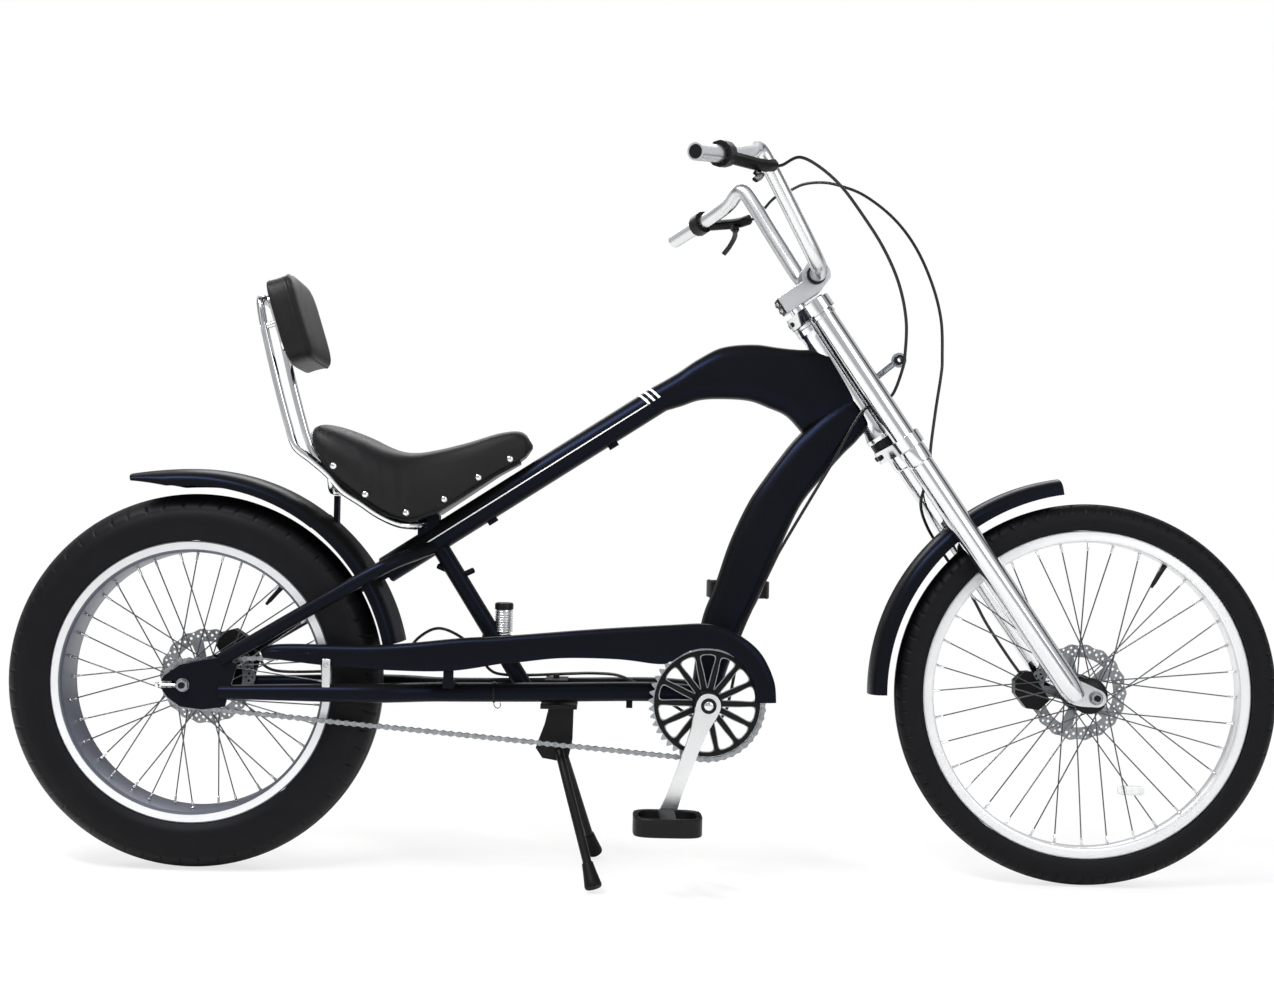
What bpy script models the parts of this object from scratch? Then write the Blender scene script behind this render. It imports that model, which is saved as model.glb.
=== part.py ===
# Chopper bicycle: a fat rear tyre, a long chrome fork, high bars and a low saddle with a sissy bar.
# X runs forward from the rear axle, Y to the rider's left, Z up from the ground. Sizes are in metres.
import math

import bmesh
import bpy
from mathutils import Vector
from mathutils.geometry import convex_hull_2d, tessellate_polygon

MM = 0.001
WELD = 1e-6
CLEARANCE = 0.0003          # gap between a piece and what it fits or seats on
RUNNING_GAP = 0.0004        # gap round a piece that turns

# Wheels
WHEELBASE = 1.432
DRAWN_WHEELBASE = 1.432     # the typed points of the frame's front belong to this wheelbase
REAR_TYRE_RADIUS = 0.300
REAR_TYRE_HALF_WIDTH = 0.053
FRONT_TYRE_RADIUS = 0.307
FRONT_TYRE_HALF_WIDTH = 0.027
REAR_RIM_RADIUS = 0.2247
REAR_RIM_HALF_WIDTH = 0.042
FRONT_RIM_RADIUS = 0.2638
FRONT_RIM_HALF_WIDTH = 0.015
RIM_WALL = 0.0025
RIM_WELL_DEPTH = 0.0155
RIM_BED_THICKNESS = 0.003
WHEEL_SEGMENTS = 30
SPOKES_PER_SIDE = 18
SPOKE_RADIUS = 0.0011
SPOKE_CROSSINGS_TURN = math.radians(60)
FLANGE_RADIUS = 0.029
FLANGE_THICKNESS = 0.005
HUB_SHELL_RADIUS = 0.017
HUB_NECK_RADIUS = 0.011
AXLE_RADIUS = 0.005
NUT_RADIUS = 0.009
NUT_LENGTH = 0.008
FRONT_HUB_HALF = 0.050
FRONT_FLANGE_Y = 0.028
REAR_HUB_HALF = 0.085
REAR_FLANGE_Y = 0.050
ROTOR_RADIUS = 0.080
ROTOR_THICKNESS = 0.0025
ROTOR_ARMS = 5
FRONT_ROTOR_Y = 0.0345
REAR_ROTOR_Y = 0.0675

# Steering, measured along the steering axis and forward of it
HEAD_ANGLE = math.radians(55.2)
FORK_OFFSET = 0.017
AXLE_LEAD = 0.024
HEAD_TUBE_TOP = 0.7406      # up from the front axle, along the steering axis
HEAD_TUBE_LENGTH = 0.216
HEAD_TUBE_RADIUS = 0.022
HEAD_CUP_RADIUS = 0.027
HEADSET_HEIGHT = 0.0135
UPPER_HEADSET_HEIGHT = 0.006
HEADSET_RADIUS = 0.025
STEERER_RADIUS = 0.014
CROWN_HEIGHT = 0.020
CROWN_BOSS_RADIUS = 0.0245
CROWN_CENTRE_RADIUS = 0.0265
LEG_SPACING = 0.056         # half the distance between the legs' centre lines
LEG_RADIUS = 0.019
LEG_STAND_UP = 0.003
LEG_END_UP = 0.014
LUG_HALF = 0.0058
STEM_GAP = 0.010
STEM_HEIGHT = 0.028
STEM_HALF_WIDTH = 0.026
BAR_RADIUS = 0.0127
BAR_CLAMP_FORWARD = 0.050
BAR_CLAMP_RADIUS = 0.022

# Frame
TOP_TUBE_RADIUS = 0.0222
TOP_TUBE_SLOPE = math.radians(33.3)
TOP_TUBE_HEIGHT_AT_AXLE = 0.2856    # where its centre line would cross the rear axle's upright
TOP_TUBE_REAR_X = 0.300
TOP_TUBE_FRONT_X = 0.7355
DOWN_TUBE_HALF_WIDTH = 0.026
SEAT_TUBE_RADIUS = 0.014
SEAT_TUBE_FOOT = (0.528, 0.300)
SEAT_TUBE_HEAD = (0.380, 0.5337)
RAIL_RADIUS = 0.0155
RAIL_END_RADIUS = 0.011
RAIL_SPACING = 0.042
STAY_RADIUS = 0.011
DROPOUT_Y = 0.086
DROPOUT_THICKNESS = 0.006
BRACKET_X = 0.819
BRACKET_Z = 0.286
SHELL_RADIUS = 0.0275
SHELL_HALF = 0.050
SPINDLE_RADIUS = 0.0085

# Drive
CHAIN_Y = -0.064
CHAIN_PITCH = 0.0127
CHAINRING_TEETH = 44
SPROCKET_TEETH = 18
LINK_HEIGHT_AT_PIN = 0.0082
LINK_WAIST = 0.0064
LINK_HALF_WIDTH = 0.0045
LINK_PLATE = 0.0012
HIDDEN_RUN_STATIONS = 12     # the run behind the guard is left plain
TOOTH_THICKNESS = 0.002
CHAINRING_ARMS = 14
CHAINRING_BOSS = 0.021
CHAINRING_RIM = 0.078
CHAINRING_BOSS_HALF = 0.003
CRANK_LENGTH = 0.185
CRANK_ANGLE = math.radians(19.8)    # how far the right crank hangs back from straight down
CRANK_INNER = 0.0945
CRANK_THICKNESS = 0.013
PEDAL_LENGTH = 0.105
PEDAL_WIDTH = 0.095
PEDAL_HEIGHT = 0.028
PEDAL_AXLE_RADIUS = 0.006
PEDAL_GAP = 0.003
GUARD_OUTER = 0.092
GUARD_WALL = 0.003
GUARD_FLANGE_INNER = 0.072

# Fenders
REAR_FENDER_RADIUS = 0.340
REAR_FENDER_HALF = 0.063
REAR_FENDER_SKIRT = 0.028
FRONT_FENDER_RADIUS = 0.350
FRONT_FENDER_HALF = 0.034
FRONT_FENDER_SKIRT = 0.026
FENDER_WALL = 0.002

# Seat
PAN_THICKNESS = 0.005
SISSY_RADIUS = 0.00635
SISSY_SPACING = 0.072
PAD_THICKNESS = 0.047
PAD_HEIGHT = 0.145
PAD_WIDTH = 0.200
PAD_LEAN = math.radians(17.5)

# Controls and stand
CABLE_RADIUS = 0.0025
STAND_PIVOT = (0.588, 0.200)
STAND_LEG_RADIUS = 0.007
STAND_FOOT_Y = 0.140
STAND_FOOT_X = 0.648
STAND_CHEEK_Y = 0.020
STAND_CHEEK_THICKNESS = 0.005

for old in list(bpy.data.objects):
    bpy.data.objects.remove(old, do_unlink=True)


def finish(name, red, green, blue, metallic, roughness):
    material = bpy.data.materials.new(name)
    material.use_nodes = True
    shader = material.node_tree.nodes["Principled BSDF"]
    shader.inputs["Base Color"].default_value = (red, green, blue, 1.0)
    shader.inputs["Metallic"].default_value = metallic
    shader.inputs["Roughness"].default_value = roughness
    return material


FRAME_PAINT = finish("frame paint", 0.02, 0.022, 0.03, 0.4, 0.28)
CHROME = finish("chrome plate", 0.80, 0.80, 0.82, 1.0, 0.07)
ALLOY = finish("polished alloy", 0.72, 0.72, 0.74, 1.0, 0.22)
RUBBER = finish("tyre rubber", 0.018, 0.018, 0.018, 0.0, 0.75)
STEEL = finish("dark steel", 0.16, 0.16, 0.17, 1.0, 0.35)
LEATHER = finish("seat leather", 0.015, 0.014, 0.014, 0.0, 0.45)
PLASTIC = finish("black plastic", 0.02, 0.02, 0.02, 0.0, 0.5)


def mesh_object(name, bm, material):
    """Turns a closed mesh into a named object whose faces point outwards."""
    bmesh.ops.recalc_face_normals(bm, faces=bm.faces)
    if bm.calc_volume(signed=True) < 0:
        bmesh.ops.reverse_faces(bm, faces=bm.faces)
    mesh = bpy.data.meshes.new(name)
    bm.to_mesh(mesh)
    bm.free()
    thing = bpy.data.objects.new(name, mesh)
    bpy.context.collection.objects.link(thing)
    mesh.materials.append(material)
    mesh.shade_smooth()
    mesh.set_sharp_from_angle(angle=math.radians(35))
    return thing


def loft(name, rings, material, closed=False):
    """Joins rings of equally many points; the ends are capped unless the loft runs round into itself."""
    bm = bmesh.new()
    loops = [[bm.verts.new(point) for point in ring] for ring in rings]
    count = len(loops[0])
    pairs = list(zip(loops, loops[1:]))
    if closed:
        pairs.append((loops[-1], loops[0]))
    for near, far in pairs:
        for i in range(count):
            j = (i + 1) % count
            bm.faces.new((near[i], near[j], far[j], far[i]))
    if not closed:
        bm.faces.new(loops[0])
        bm.faces.new(loops[-1])
    return mesh_object(name, bm, material)


def revolve(name, profile, material, centre, axis, segments, phase=0.0):
    """Turns a closed profile of (radius, along) points round an axis; radii are met at the facets' middles."""
    axis = Vector(axis).normalized()
    side = axis.orthogonal().normalized()
    if abs(axis.y) > 0.9:
        side = Vector((0.0, 0.0, -1.0))
    across = axis.cross(side)
    grow = 1.0 / math.cos(math.pi / segments)
    bm = bmesh.new()
    on_axis = {}
    rings = []
    for k in range(segments):
        angle = 2 * math.pi * (k + 0.5) / segments + phase
        out = (side * math.cos(angle) + across * math.sin(angle)) * grow
        ring = []
        for i, (radius, along) in enumerate(profile):
            if radius == 0:
                if i not in on_axis:
                    on_axis[i] = bm.verts.new(Vector(centre) + axis * along)
                ring.append(on_axis[i])
            else:
                ring.append(bm.verts.new(Vector(centre) + axis * along + out * radius))
        rings.append(ring)
    count = len(profile)
    for k in range(segments):
        near, far = rings[k], rings[(k + 1) % segments]
        for i in range(count):
            j = (i + 1) % count
            corners = []
            for vertex in (near[i], near[j], far[j], far[i]):
                if vertex not in corners:
                    corners.append(vertex)
            if len(corners) > 2:
                bm.faces.new(corners)
    return mesh_object(name, bm, material)


def cylinder(name, start, end, radius, material, segments=16, phase=0.0):
    """A solid round bar between two points."""
    start, end = Vector(start), Vector(end)
    length = (end - start).length
    profile = [(0, 0), (radius, 0), (radius, length), (0, length)]
    return revolve(name, profile, material, start, end - start, segments, phase)


def pipe(name, start, end, radius, bore, material, segments=16):
    """A round bar with a round bore."""
    start, end = Vector(start), Vector(end)
    length = (end - start).length
    profile = [(bore, 0), (radius, 0), (radius, length), (bore, length)]
    return revolve(name, profile, material, start, end - start, segments)


def smooth_path(points, count, closed=False):
    """Points at even spacing along a smooth curve through the given points."""
    points = [Vector(p) for p in points]
    last = len(points) - 1
    fine = []
    spans = len(points) if closed else last
    for i in range(spans):
        if closed:
            p0, p1, p2, p3 = (points[(i + k) % len(points)] for k in (-1, 0, 1, 2))
        else:
            p0, p1, p2, p3 = points[max(i - 1, 0)], points[i], points[i + 1], points[min(i + 2, last)]
        for step in range(16):
            t = step / 16
            fine.append(0.5 * (2 * p1 + (p2 - p0) * t + (2 * p0 - 5 * p1 + 4 * p2 - p3) * t * t
                               + (3 * p1 - p0 - 3 * p2 + p3) * t * t * t))
    fine.append(points[0] if closed else points[-1])
    lengths = [0.0]
    for a, b in zip(fine, fine[1:]):
        lengths.append(lengths[-1] + (b - a).length)
    steps = count if closed else count - 1
    path = []
    k = 0
    for n in range(count):
        want = lengths[-1] * n / steps
        while k < len(fine) - 2 and lengths[k + 1] < want:
            k += 1
        share = (want - lengths[k]) / max(lengths[k + 1] - lengths[k], 1e-9)
        path.append(fine[k].lerp(fine[k + 1], share))
    return path


def sweep(name, path, section, material, closed=False, side=None):
    """Carries a section (across, up) along a path; section may be a function of the share of the way."""
    path = [Vector(p) for p in path]
    last = len(path) - 1
    rings = []
    across = None
    for i, point in enumerate(path):
        if closed:
            tangent = path[(i + 1) % len(path)] - path[i - 1]
        else:
            tangent = path[min(i + 1, last)] - path[max(i - 1, 0)]
        tangent.normalize()
        if side is not None:
            across = Vector(side)
        elif across is None:
            across = tangent.orthogonal()
        across = (across - tangent * across.dot(tangent)).normalized()
        up = tangent.cross(across)
        points = section(i / last) if callable(section) else section
        rings.append([point + across * a + up * b for a, b in points])
    return loft(name, rings, material, closed)


def circle(radius, sides=12):
    """Points of a circle whose facets' middles lie at the radius."""
    grow = radius / math.cos(math.pi / sides)
    return [(grow * math.cos(2 * math.pi * (k + 0.5) / sides), grow * math.sin(2 * math.pi * (k + 0.5) / sides))
            for k in range(sides)]


def rounded(half_width, half_height, power=0.5, sides=12):
    """A rounded rectangle: a superellipse with square-ish shoulders."""
    points = []
    for k in range(sides):
        angle = 2 * math.pi * (k + 0.5) / sides
        c, s = math.cos(angle), math.sin(angle)
        points.append((half_width * math.copysign(abs(c) ** power, c), half_height * math.copysign(abs(s) ** power, s)))
    return points


def prism(name, outline, low, high, material):
    """An outline in the XZ plane carried from one Y to another."""
    bm = bmesh.new()
    near = [bm.verts.new((x, low, z)) for x, z in outline]
    far = [bm.verts.new((x, high, z)) for x, z in outline]
    for i in range(len(outline)):
        j = (i + 1) % len(outline)
        bm.faces.new((near[i], near[j], far[j], far[i]))
    caps = [bm.faces.new(near), bm.faces.new(far)]
    bmesh.ops.triangulate(bm, faces=caps)
    return mesh_object(name, bm, material)


def pierced(name, outline, holes, low, high, material):
    """An outline with holes in the XZ plane, carried from one Y to another."""
    loops = [outline] + holes
    flat = [[Vector((x, z, 0)) for x, z in loop] for loop in loops]
    bm = bmesh.new()
    near = [bm.verts.new((x, low, z)) for loop in loops for x, z in loop]
    far = [bm.verts.new((x, high, z)) for loop in loops for x, z in loop]
    for a, b, c in tessellate_polygon(flat):
        bm.faces.new((near[a], near[b], near[c]))
        bm.faces.new((far[c], far[b], far[a]))
    start = 0
    for loop in loops:
        count = len(loop)
        for i in range(count):
            a, b = start + i, start + (i + 1) % count
            bm.faces.new((near[a], near[b], far[b], far[a]))
        start += count
    return mesh_object(name, bm, material)


def ring_points(centre, radius, sides, phase=0.5):
    """A circle in the XZ plane whose facets' middles lie at the radius."""
    grow = radius / math.cos(math.pi / sides)
    return [(centre.x + grow * math.cos(2 * math.pi * (k + phase) / sides),
             centre.z + grow * math.sin(2 * math.pi * (k + phase) / sides)) for k in range(sides)]


def hull(circles, sides=20):
    """The outline of a belt round several circles of (x, z, radius)."""
    points = []
    grow = 1.0 / math.cos(math.pi / sides)
    for x, z, radius in circles:
        radius *= grow
        points += [(x + radius * math.cos(2 * math.pi * k / sides), z + radius * math.sin(2 * math.pi * k / sides))
                   for k in range(sides)]
    return [points[i] for i in convex_hull_2d(points)]


def apply_boolean(target, tool, operation):
    """Cuts with, or joins, another solid for good."""
    step = target.modifiers.new(operation, "BOOLEAN")
    step.operation = operation
    step.object = tool
    step.solver = "EXACT"
    bpy.context.view_layer.update()
    result = bpy.data.meshes.new_from_object(target.evaluated_get(bpy.context.evaluated_depsgraph_get()))
    target.modifiers.clear()
    target.data = result
    return keep_largest(target)


def islands_of(bm):
    """Sorts a mesh's points into its separate bodies."""
    waiting = set(bm.verts)
    islands = []
    while waiting:
        island = {waiting.pop()}
        front = list(island)
        while front:
            vertex = front.pop()
            for edge in vertex.link_edges:
                other = edge.other_vert(vertex)
                if other not in island:
                    island.add(other)
                    front.append(other)
        waiting -= island
        islands.append(island)
    return islands


def keep_largest(target):
    """Drops the crumbs that a cut leaves, merges its doubled points and says how many bodies there were."""
    bm = bmesh.new()
    bm.from_mesh(target.data)
    bmesh.ops.remove_doubles(bm, verts=bm.verts, dist=WELD)
    bmesh.ops.dissolve_degenerate(bm, edges=bm.edges, dist=WELD)
    islands = islands_of(bm)
    if len(islands) > 1:
        def box_volume(island):
            xs, ys, zs = zip(*(v.co for v in island))
            return (max(xs) - min(xs)) * (max(ys) - min(ys)) * (max(zs) - min(zs))
        islands.sort(key=box_volume)
        crumbs = [v for island in islands[:-1] for v in island]
        bmesh.ops.delete(bm, geom=crumbs, context="VERTS")
    bm.to_mesh(target.data)
    bm.free()
    target.data.shade_smooth()
    target.data.set_sharp_from_angle(angle=math.radians(35))
    return len(islands)


def join(target, *tools):
    """Fuses solids into the first one."""
    for tool in tools:
        if apply_boolean(target, tool, "UNION") > 1:
            print("not touching:", target.name, tool.name)
        bpy.data.objects.remove(tool, do_unlink=True)
    return target


def cut(target, *tools):
    """Cuts solids out of the first one."""
    for tool in tools:
        apply_boolean(target, tool, "DIFFERENCE")
        bpy.data.objects.remove(tool, do_unlink=True)
    return target


def carve(target, *neighbours, gap=CLEARANCE):
    """Trims a piece where it meets its neighbours, a clearance away from their surfaces."""
    for neighbour in neighbours:
        bm = bmesh.new()
        bm.from_mesh(neighbour.data)
        bm.normal_update()
        moves = [(v, v.normal * min(v.calc_shell_factor(), 2.0) * gap * 1.1) for v in bm.verts]
        for vertex, move in moves:
            vertex.co += move
        tool = mesh_object("cutter", bm, STEEL)
        apply_boolean(target, tool, "DIFFERENCE")
        bpy.data.objects.remove(tool, do_unlink=True)
    return target


def mirrored(source, name):
    """The same piece on the other side of the bike."""
    bm = bmesh.new()
    bm.from_mesh(source.data)
    for vertex in bm.verts:
        vertex.co.y = -vertex.co.y
    bmesh.ops.reverse_faces(bm, faces=bm.faces)
    return mesh_object(name, bm, source.data.materials[0])


def mm(points):
    """Turns points written in millimetres into metres."""
    return [tuple(value * MM for value in point) for point in points]


def xyz(points):
    """Turns (x, z, y) points written in millimetres into places in metres."""
    return [Vector((x * MM, y * MM, z * MM)) for x, z, y in points]


REAR_AXLE = Vector((0.0, 0.0, REAR_TYRE_RADIUS))
FRONT_AXLE = Vector((WHEELBASE, 0.0, FRONT_TYRE_RADIUS))
STRETCH = Vector((WHEELBASE - DRAWN_WHEELBASE, 0.0, 0.0))
UP_FORK = Vector((-math.cos(HEAD_ANGLE), 0.0, math.sin(HEAD_ANGLE)))
FORWARD = Vector((math.sin(HEAD_ANGLE), 0.0, math.cos(HEAD_ANGLE)))
AXLE_FORWARD = FORK_OFFSET + AXLE_LEAD
HEAD_TUBE_FOOT = HEAD_TUBE_TOP - HEAD_TUBE_LENGTH
LOWER_CROWN_TOP = HEAD_TUBE_FOOT - HEADSET_HEIGHT - 2 * CLEARANCE
UPPER_CROWN_FOOT = HEAD_TUBE_TOP + UPPER_HEADSET_HEIGHT + 2 * CLEARANCE
UPPER_CROWN_TOP = UPPER_CROWN_FOOT + CROWN_HEIGHT
STEM_FOOT = UPPER_CROWN_TOP + STEM_GAP
STEM_TOP = STEM_FOOT + STEM_HEIGHT


def steer(up, forward, y=0.0):
    """A place on the steered parts: up along the steering axis from the front axle, forward of that axis."""
    return FRONT_AXLE + UP_FORK * up + FORWARD * (forward - AXLE_FORWARD) + Vector((0.0, y, 0.0))


def steer_plate(name, outline, low, high, material):
    """An outline of (forward, y) points carried along the steering axis."""
    rings = [[steer(level, f, y) for f, y in outline] for level in (low, high)]
    return loft(name, rings, material)


# Wheels
def rim_profile(radius, half_width):
    bed = radius - RIM_WELL_DEPTH
    half = [(bed - RIM_BED_THICKNESS, half_width - 0.006), (bed, half_width), (radius, half_width),
            (radius, half_width - RIM_WALL), (bed, half_width - RIM_WALL)]
    return [(r, -y) for r, y in half] + [(r, y) for r, y in reversed(half)]


def tyre_profile(radius, half_width, rim_radius, rim_half_width):
    bed = rim_radius - RIM_WELL_DEPTH
    seat = rim_half_width - RIM_WALL - CLEARANCE
    depth = radius - rim_radius
    half = [(bed + CLEARANCE, seat), (rim_radius + CLEARANCE, seat),
            (rim_radius + 0.0015, rim_half_width)]
    for share, width in ((0.30, 0.97), (0.70, 0.94), (0.94, 0.58)):
        half.append((rim_radius + depth * share, half_width * width))
    half.append((radius, half_width * 0.17))
    return [(r, -y) for r, y in half] + [(r, y) for r, y in reversed(half)]


def hub(name, axle, half, flange_y, rim_radius, rim_spread, rotor_shoulder):
    """A hub shell with its two flanges and laced spokes."""
    flange = FLANGE_THICKNESS / 2
    bore = AXLE_RADIUS + RUNNING_GAP
    halves = []
    for step in (rotor_shoulder, flange_y + flange + 0.002):
        halves.append([(bore, half), (HUB_NECK_RADIUS, half), (HUB_NECK_RADIUS, step), (HUB_SHELL_RADIUS, step),
                       (HUB_SHELL_RADIUS, flange_y + flange), (FLANGE_RADIUS, flange_y + flange),
                       (FLANGE_RADIUS, flange_y - flange), (HUB_SHELL_RADIUS, flange_y - flange)])
    far_half = [(r, -y) for r, y in reversed(halves[1])]
    body = revolve(name, halves[0] + far_half, ALLOY, axle, (0, 1, 0), 12)
    reach = rim_radius - RIM_WELL_DEPTH - RIM_BED_THICKNESS - 2 * CLEARANCE
    start = FLANGE_RADIUS - 0.004
    bm = bmesh.new()
    for which, sign in enumerate((1, -1)):
        for k in range(SPOKES_PER_SIDE):
            trailing = k % 2 == 0
            angle = 2 * math.pi * (k + 0.5 * which) / SPOKES_PER_SIDE
            turn = SPOKE_CROSSINGS_TURN if trailing else -SPOKE_CROSSINGS_TURN
            lean = 0.0014 if trailing else -0.0014
            far_angle = angle + turn
            root = Vector((start * math.cos(angle), sign * (flange_y + lean), start * math.sin(angle)))
            tip = Vector((reach * math.cos(far_angle), sign * rim_spread + lean * 0.9, reach * math.sin(far_angle)))
            along = (tip - root).normalized()
            first = along.orthogonal().normalized()
            second = along.cross(first)
            rings = []
            for point in (root, tip):
                ring = []
                for corner in range(3):
                    a = 2 * math.pi * corner / 3
                    out = (first * math.cos(a) + second * math.sin(a)) * SPOKE_RADIUS * 1.2
                    ring.append(bm.verts.new(axle + point + out))
                rings.append(ring)
            for corner in range(3):
                nxt = (corner + 1) % 3
                bm.faces.new((rings[0][corner], rings[0][nxt], rings[1][nxt], rings[1][corner]))
            bm.faces.new(rings[0])
            bm.faces.new(rings[1])
    spokes = mesh_object("spokes", bm, STEEL)
    return join(body, spokes)


def rotor(name, axle, y):
    """A brake disc with a light inner spider and a ring of slots."""
    windows = []
    for k in range(ROTOR_ARMS):
        middle = 2 * math.pi * k / ROTOR_ARMS
        corners = ((0.030, 0.36), (0.060, 0.46), (0.060, -0.46), (0.030, -0.36))
        windows.append([(axle.x + radius * math.cos(middle + spread), axle.z + radius * math.sin(middle + spread))
                        for radius, spread in corners])
    windows.append(ring_points(axle, HUB_NECK_RADIUS + 2 * CLEARANCE, 14))
    half = ROTOR_THICKNESS / 2
    return pierced(name, ring_points(axle, ROTOR_RADIUS, 24), windows, y - half, y + half, ALLOY)


def wheel(prefix, axle, tyre_radius, tyre_half, rim_radius, rim_half, half, flange_y, spread, rotor_y):
    revolve(prefix + "_tyre", tyre_profile(tyre_radius, tyre_half, rim_radius, rim_half), RUBBER, axle, (0, 1, 0),
            WHEEL_SEGMENTS)
    revolve(prefix + "_rim", rim_profile(rim_radius, rim_half), ALLOY, axle, (0, 1, 0), WHEEL_SEGMENTS)
    hub(prefix + "_hub", axle, half, flange_y, rim_radius, spread, rotor_y - ROTOR_THICKNESS / 2 - CLEARANCE)
    rotor(prefix + "_rotor", axle, rotor_y)


wheel("rear", REAR_AXLE, REAR_TYRE_RADIUS, REAR_TYRE_HALF_WIDTH, REAR_RIM_RADIUS, REAR_RIM_HALF_WIDTH,
      REAR_HUB_HALF - RUNNING_GAP, REAR_FLANGE_Y, 0.012, REAR_ROTOR_Y)
wheel("front", FRONT_AXLE, FRONT_TYRE_RADIUS, FRONT_TYRE_HALF_WIDTH, FRONT_RIM_RADIUS, FRONT_RIM_HALF_WIDTH,
      FRONT_HUB_HALF - RUNNING_GAP, FRONT_FLANGE_Y, 0.003, FRONT_ROTOR_Y)


def axle(name, centre, bearing_half, nut_start):
    """A wheel axle with a nut outside each fork end."""
    end = nut_start + NUT_LENGTH
    profile = [(0, -end - 0.004), (AXLE_RADIUS, -end - 0.004), (AXLE_RADIUS, -end), (NUT_RADIUS, -end),
               (NUT_RADIUS, -nut_start), (AXLE_RADIUS, -nut_start)]
    profile += [(r, -y) for r, y in reversed(profile)]
    return revolve(name, profile, STEEL, centre, (0, 1, 0), 12)


front_axle = axle("front_axle", FRONT_AXLE, FRONT_HUB_HALF, LEG_SPACING + LUG_HALF + CLEARANCE)
rear_axle = axle("rear_axle", REAR_AXLE, REAR_HUB_HALF, DROPOUT_Y + DROPOUT_THICKNESS + CLEARANCE)

# Fork
BORE_GAP = CLEARANCE


def bored(target, low, high, radius, forward, y):
    """Drills a hole along the steering axis."""
    start, end = steer(low - 0.01, forward, y), steer(high + 0.01, forward, y)
    return cut(target, cylinder("drill", start, end, radius, STEEL, 16))


def crown_outline():
    return hull([(0.0, 0.0, CROWN_CENTRE_RADIUS), (FORK_OFFSET, LEG_SPACING, CROWN_BOSS_RADIUS),
                 (FORK_OFFSET, -LEG_SPACING, CROWN_BOSS_RADIUS)], 14)


def crown(name, low, high):
    plate = steer_plate(name, crown_outline(), low, high, CHROME)
    for y in (LEG_SPACING, -LEG_SPACING):
        bored(plate, low, high, LEG_RADIUS + BORE_GAP, FORK_OFFSET, y)
    return plate


upper_crown = crown("upper_crown", UPPER_CROWN_FOOT, UPPER_CROWN_TOP)
bored(upper_crown, UPPER_CROWN_FOOT, UPPER_CROWN_TOP, STEERER_RADIUS + BORE_GAP, 0.0, 0.0)
lower_crown = crown("lower_crown", LOWER_CROWN_TOP - CROWN_HEIGHT, LOWER_CROWN_TOP)
steerer_top = STEM_TOP - 0.003
join(lower_crown, cylinder("steerer", steer(LOWER_CROWN_TOP - 0.005, 0), steer(steerer_top, 0), STEERER_RADIUS,
                           CHROME, 20))

LEG_TOP = UPPER_CROWN_TOP + LEG_STAND_UP


def fork_leg(name, y):
    start, end = steer(LEG_END_UP, FORK_OFFSET, y), steer(LEG_TOP, FORK_OFFSET, y)
    length = (end - start).length
    profile = [(0, 0), (LEG_RADIUS - 0.004, 0), (LEG_RADIUS, 0.018), (LEG_RADIUS, length - 0.004),
               (LEG_RADIUS - 0.003, length), (0, length)]
    leg = revolve(name, profile, CHROME, start, end - start, 20)
    corners = hull([(AXLE_FORWARD, 0.0, 0.016), (FORK_OFFSET, 0.034, 0.015), (AXLE_FORWARD - 0.030, 0.002, 0.009)], 16)
    rings = [[steer(up, forward, y + side * LUG_HALF) for forward, up in corners] for side in (-1, 1)]
    join(leg, loft("lug", rings, CHROME))
    drill = FRONT_AXLE + Vector((0, y, 0))
    reach = Vector((0, 0.03, 0))
    return cut(leg, cylinder("drill", drill - reach, drill + reach, AXLE_RADIUS + CLEARANCE, STEEL, 16))


legs = [fork_leg("fork_leg_left", LEG_SPACING), fork_leg("fork_leg_right", -LEG_SPACING)]

head_profile = [(STEERER_RADIUS + 0.003, 0), (HEAD_CUP_RADIUS, 0), (HEAD_CUP_RADIUS, 0.008), (HEAD_TUBE_RADIUS, 0.027),
                (HEAD_TUBE_RADIUS, HEAD_TUBE_LENGTH - 0.012), (HEADSET_RADIUS, HEAD_TUBE_LENGTH - 0.008),
                (HEADSET_RADIUS, HEAD_TUBE_LENGTH), (STEERER_RADIUS + 0.003, HEAD_TUBE_LENGTH)]
head_tube = revolve("head_tube", head_profile, CHROME, steer(HEAD_TUBE_FOOT, 0), UP_FORK, 20)
pipe("headset_lower", steer(HEAD_TUBE_FOOT - CLEARANCE - HEADSET_HEIGHT, 0), steer(HEAD_TUBE_FOOT - CLEARANCE, 0),
     HEADSET_RADIUS, STEERER_RADIUS + CLEARANCE, STEEL)
pipe("headset_upper", steer(HEAD_TUBE_TOP + CLEARANCE, 0), steer(HEAD_TUBE_TOP + CLEARANCE + UPPER_HEADSET_HEIGHT, 0),
     HEADSET_RADIUS, STEERER_RADIUS + CLEARANCE, STEEL)

# Bars
BAR_CENTRE = steer(STEM_TOP - 0.003, BAR_CLAMP_FORWARD)
BAR_HALF = xyz([(970, 985, 97), (930, 1052, 121), (890, 1120, 139), (876, 1139, 147), (866, 1138, 158),
                (853, 1124, 190), (821, 1108, 245), (768, 1088, 342)])
BAR_HALF = [p + STRETCH for p in BAR_HALF]
bar_points =[Vector((p.x, -p.y, p.z)) for p in reversed(BAR_HALF)]
bar_points += [BAR_CENTRE + Vector((0, y, 0)) for y in (-0.062, -0.030, 0.030, 0.062)]
bar_points += BAR_HALF
bar_path = smooth_path(bar_points, 32)
handlebar = sweep("handlebar", bar_path, circle(BAR_RADIUS, 10), CHROME, side=tuple(FORWARD))
bar_bores = [sweep("bore", smooth_path([p for p in bar_points if p.y * sign > 0.24], 4),
                   circle(BAR_RADIUS - 0.002, 8), CHROME) for sign in (1, -1)]

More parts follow.
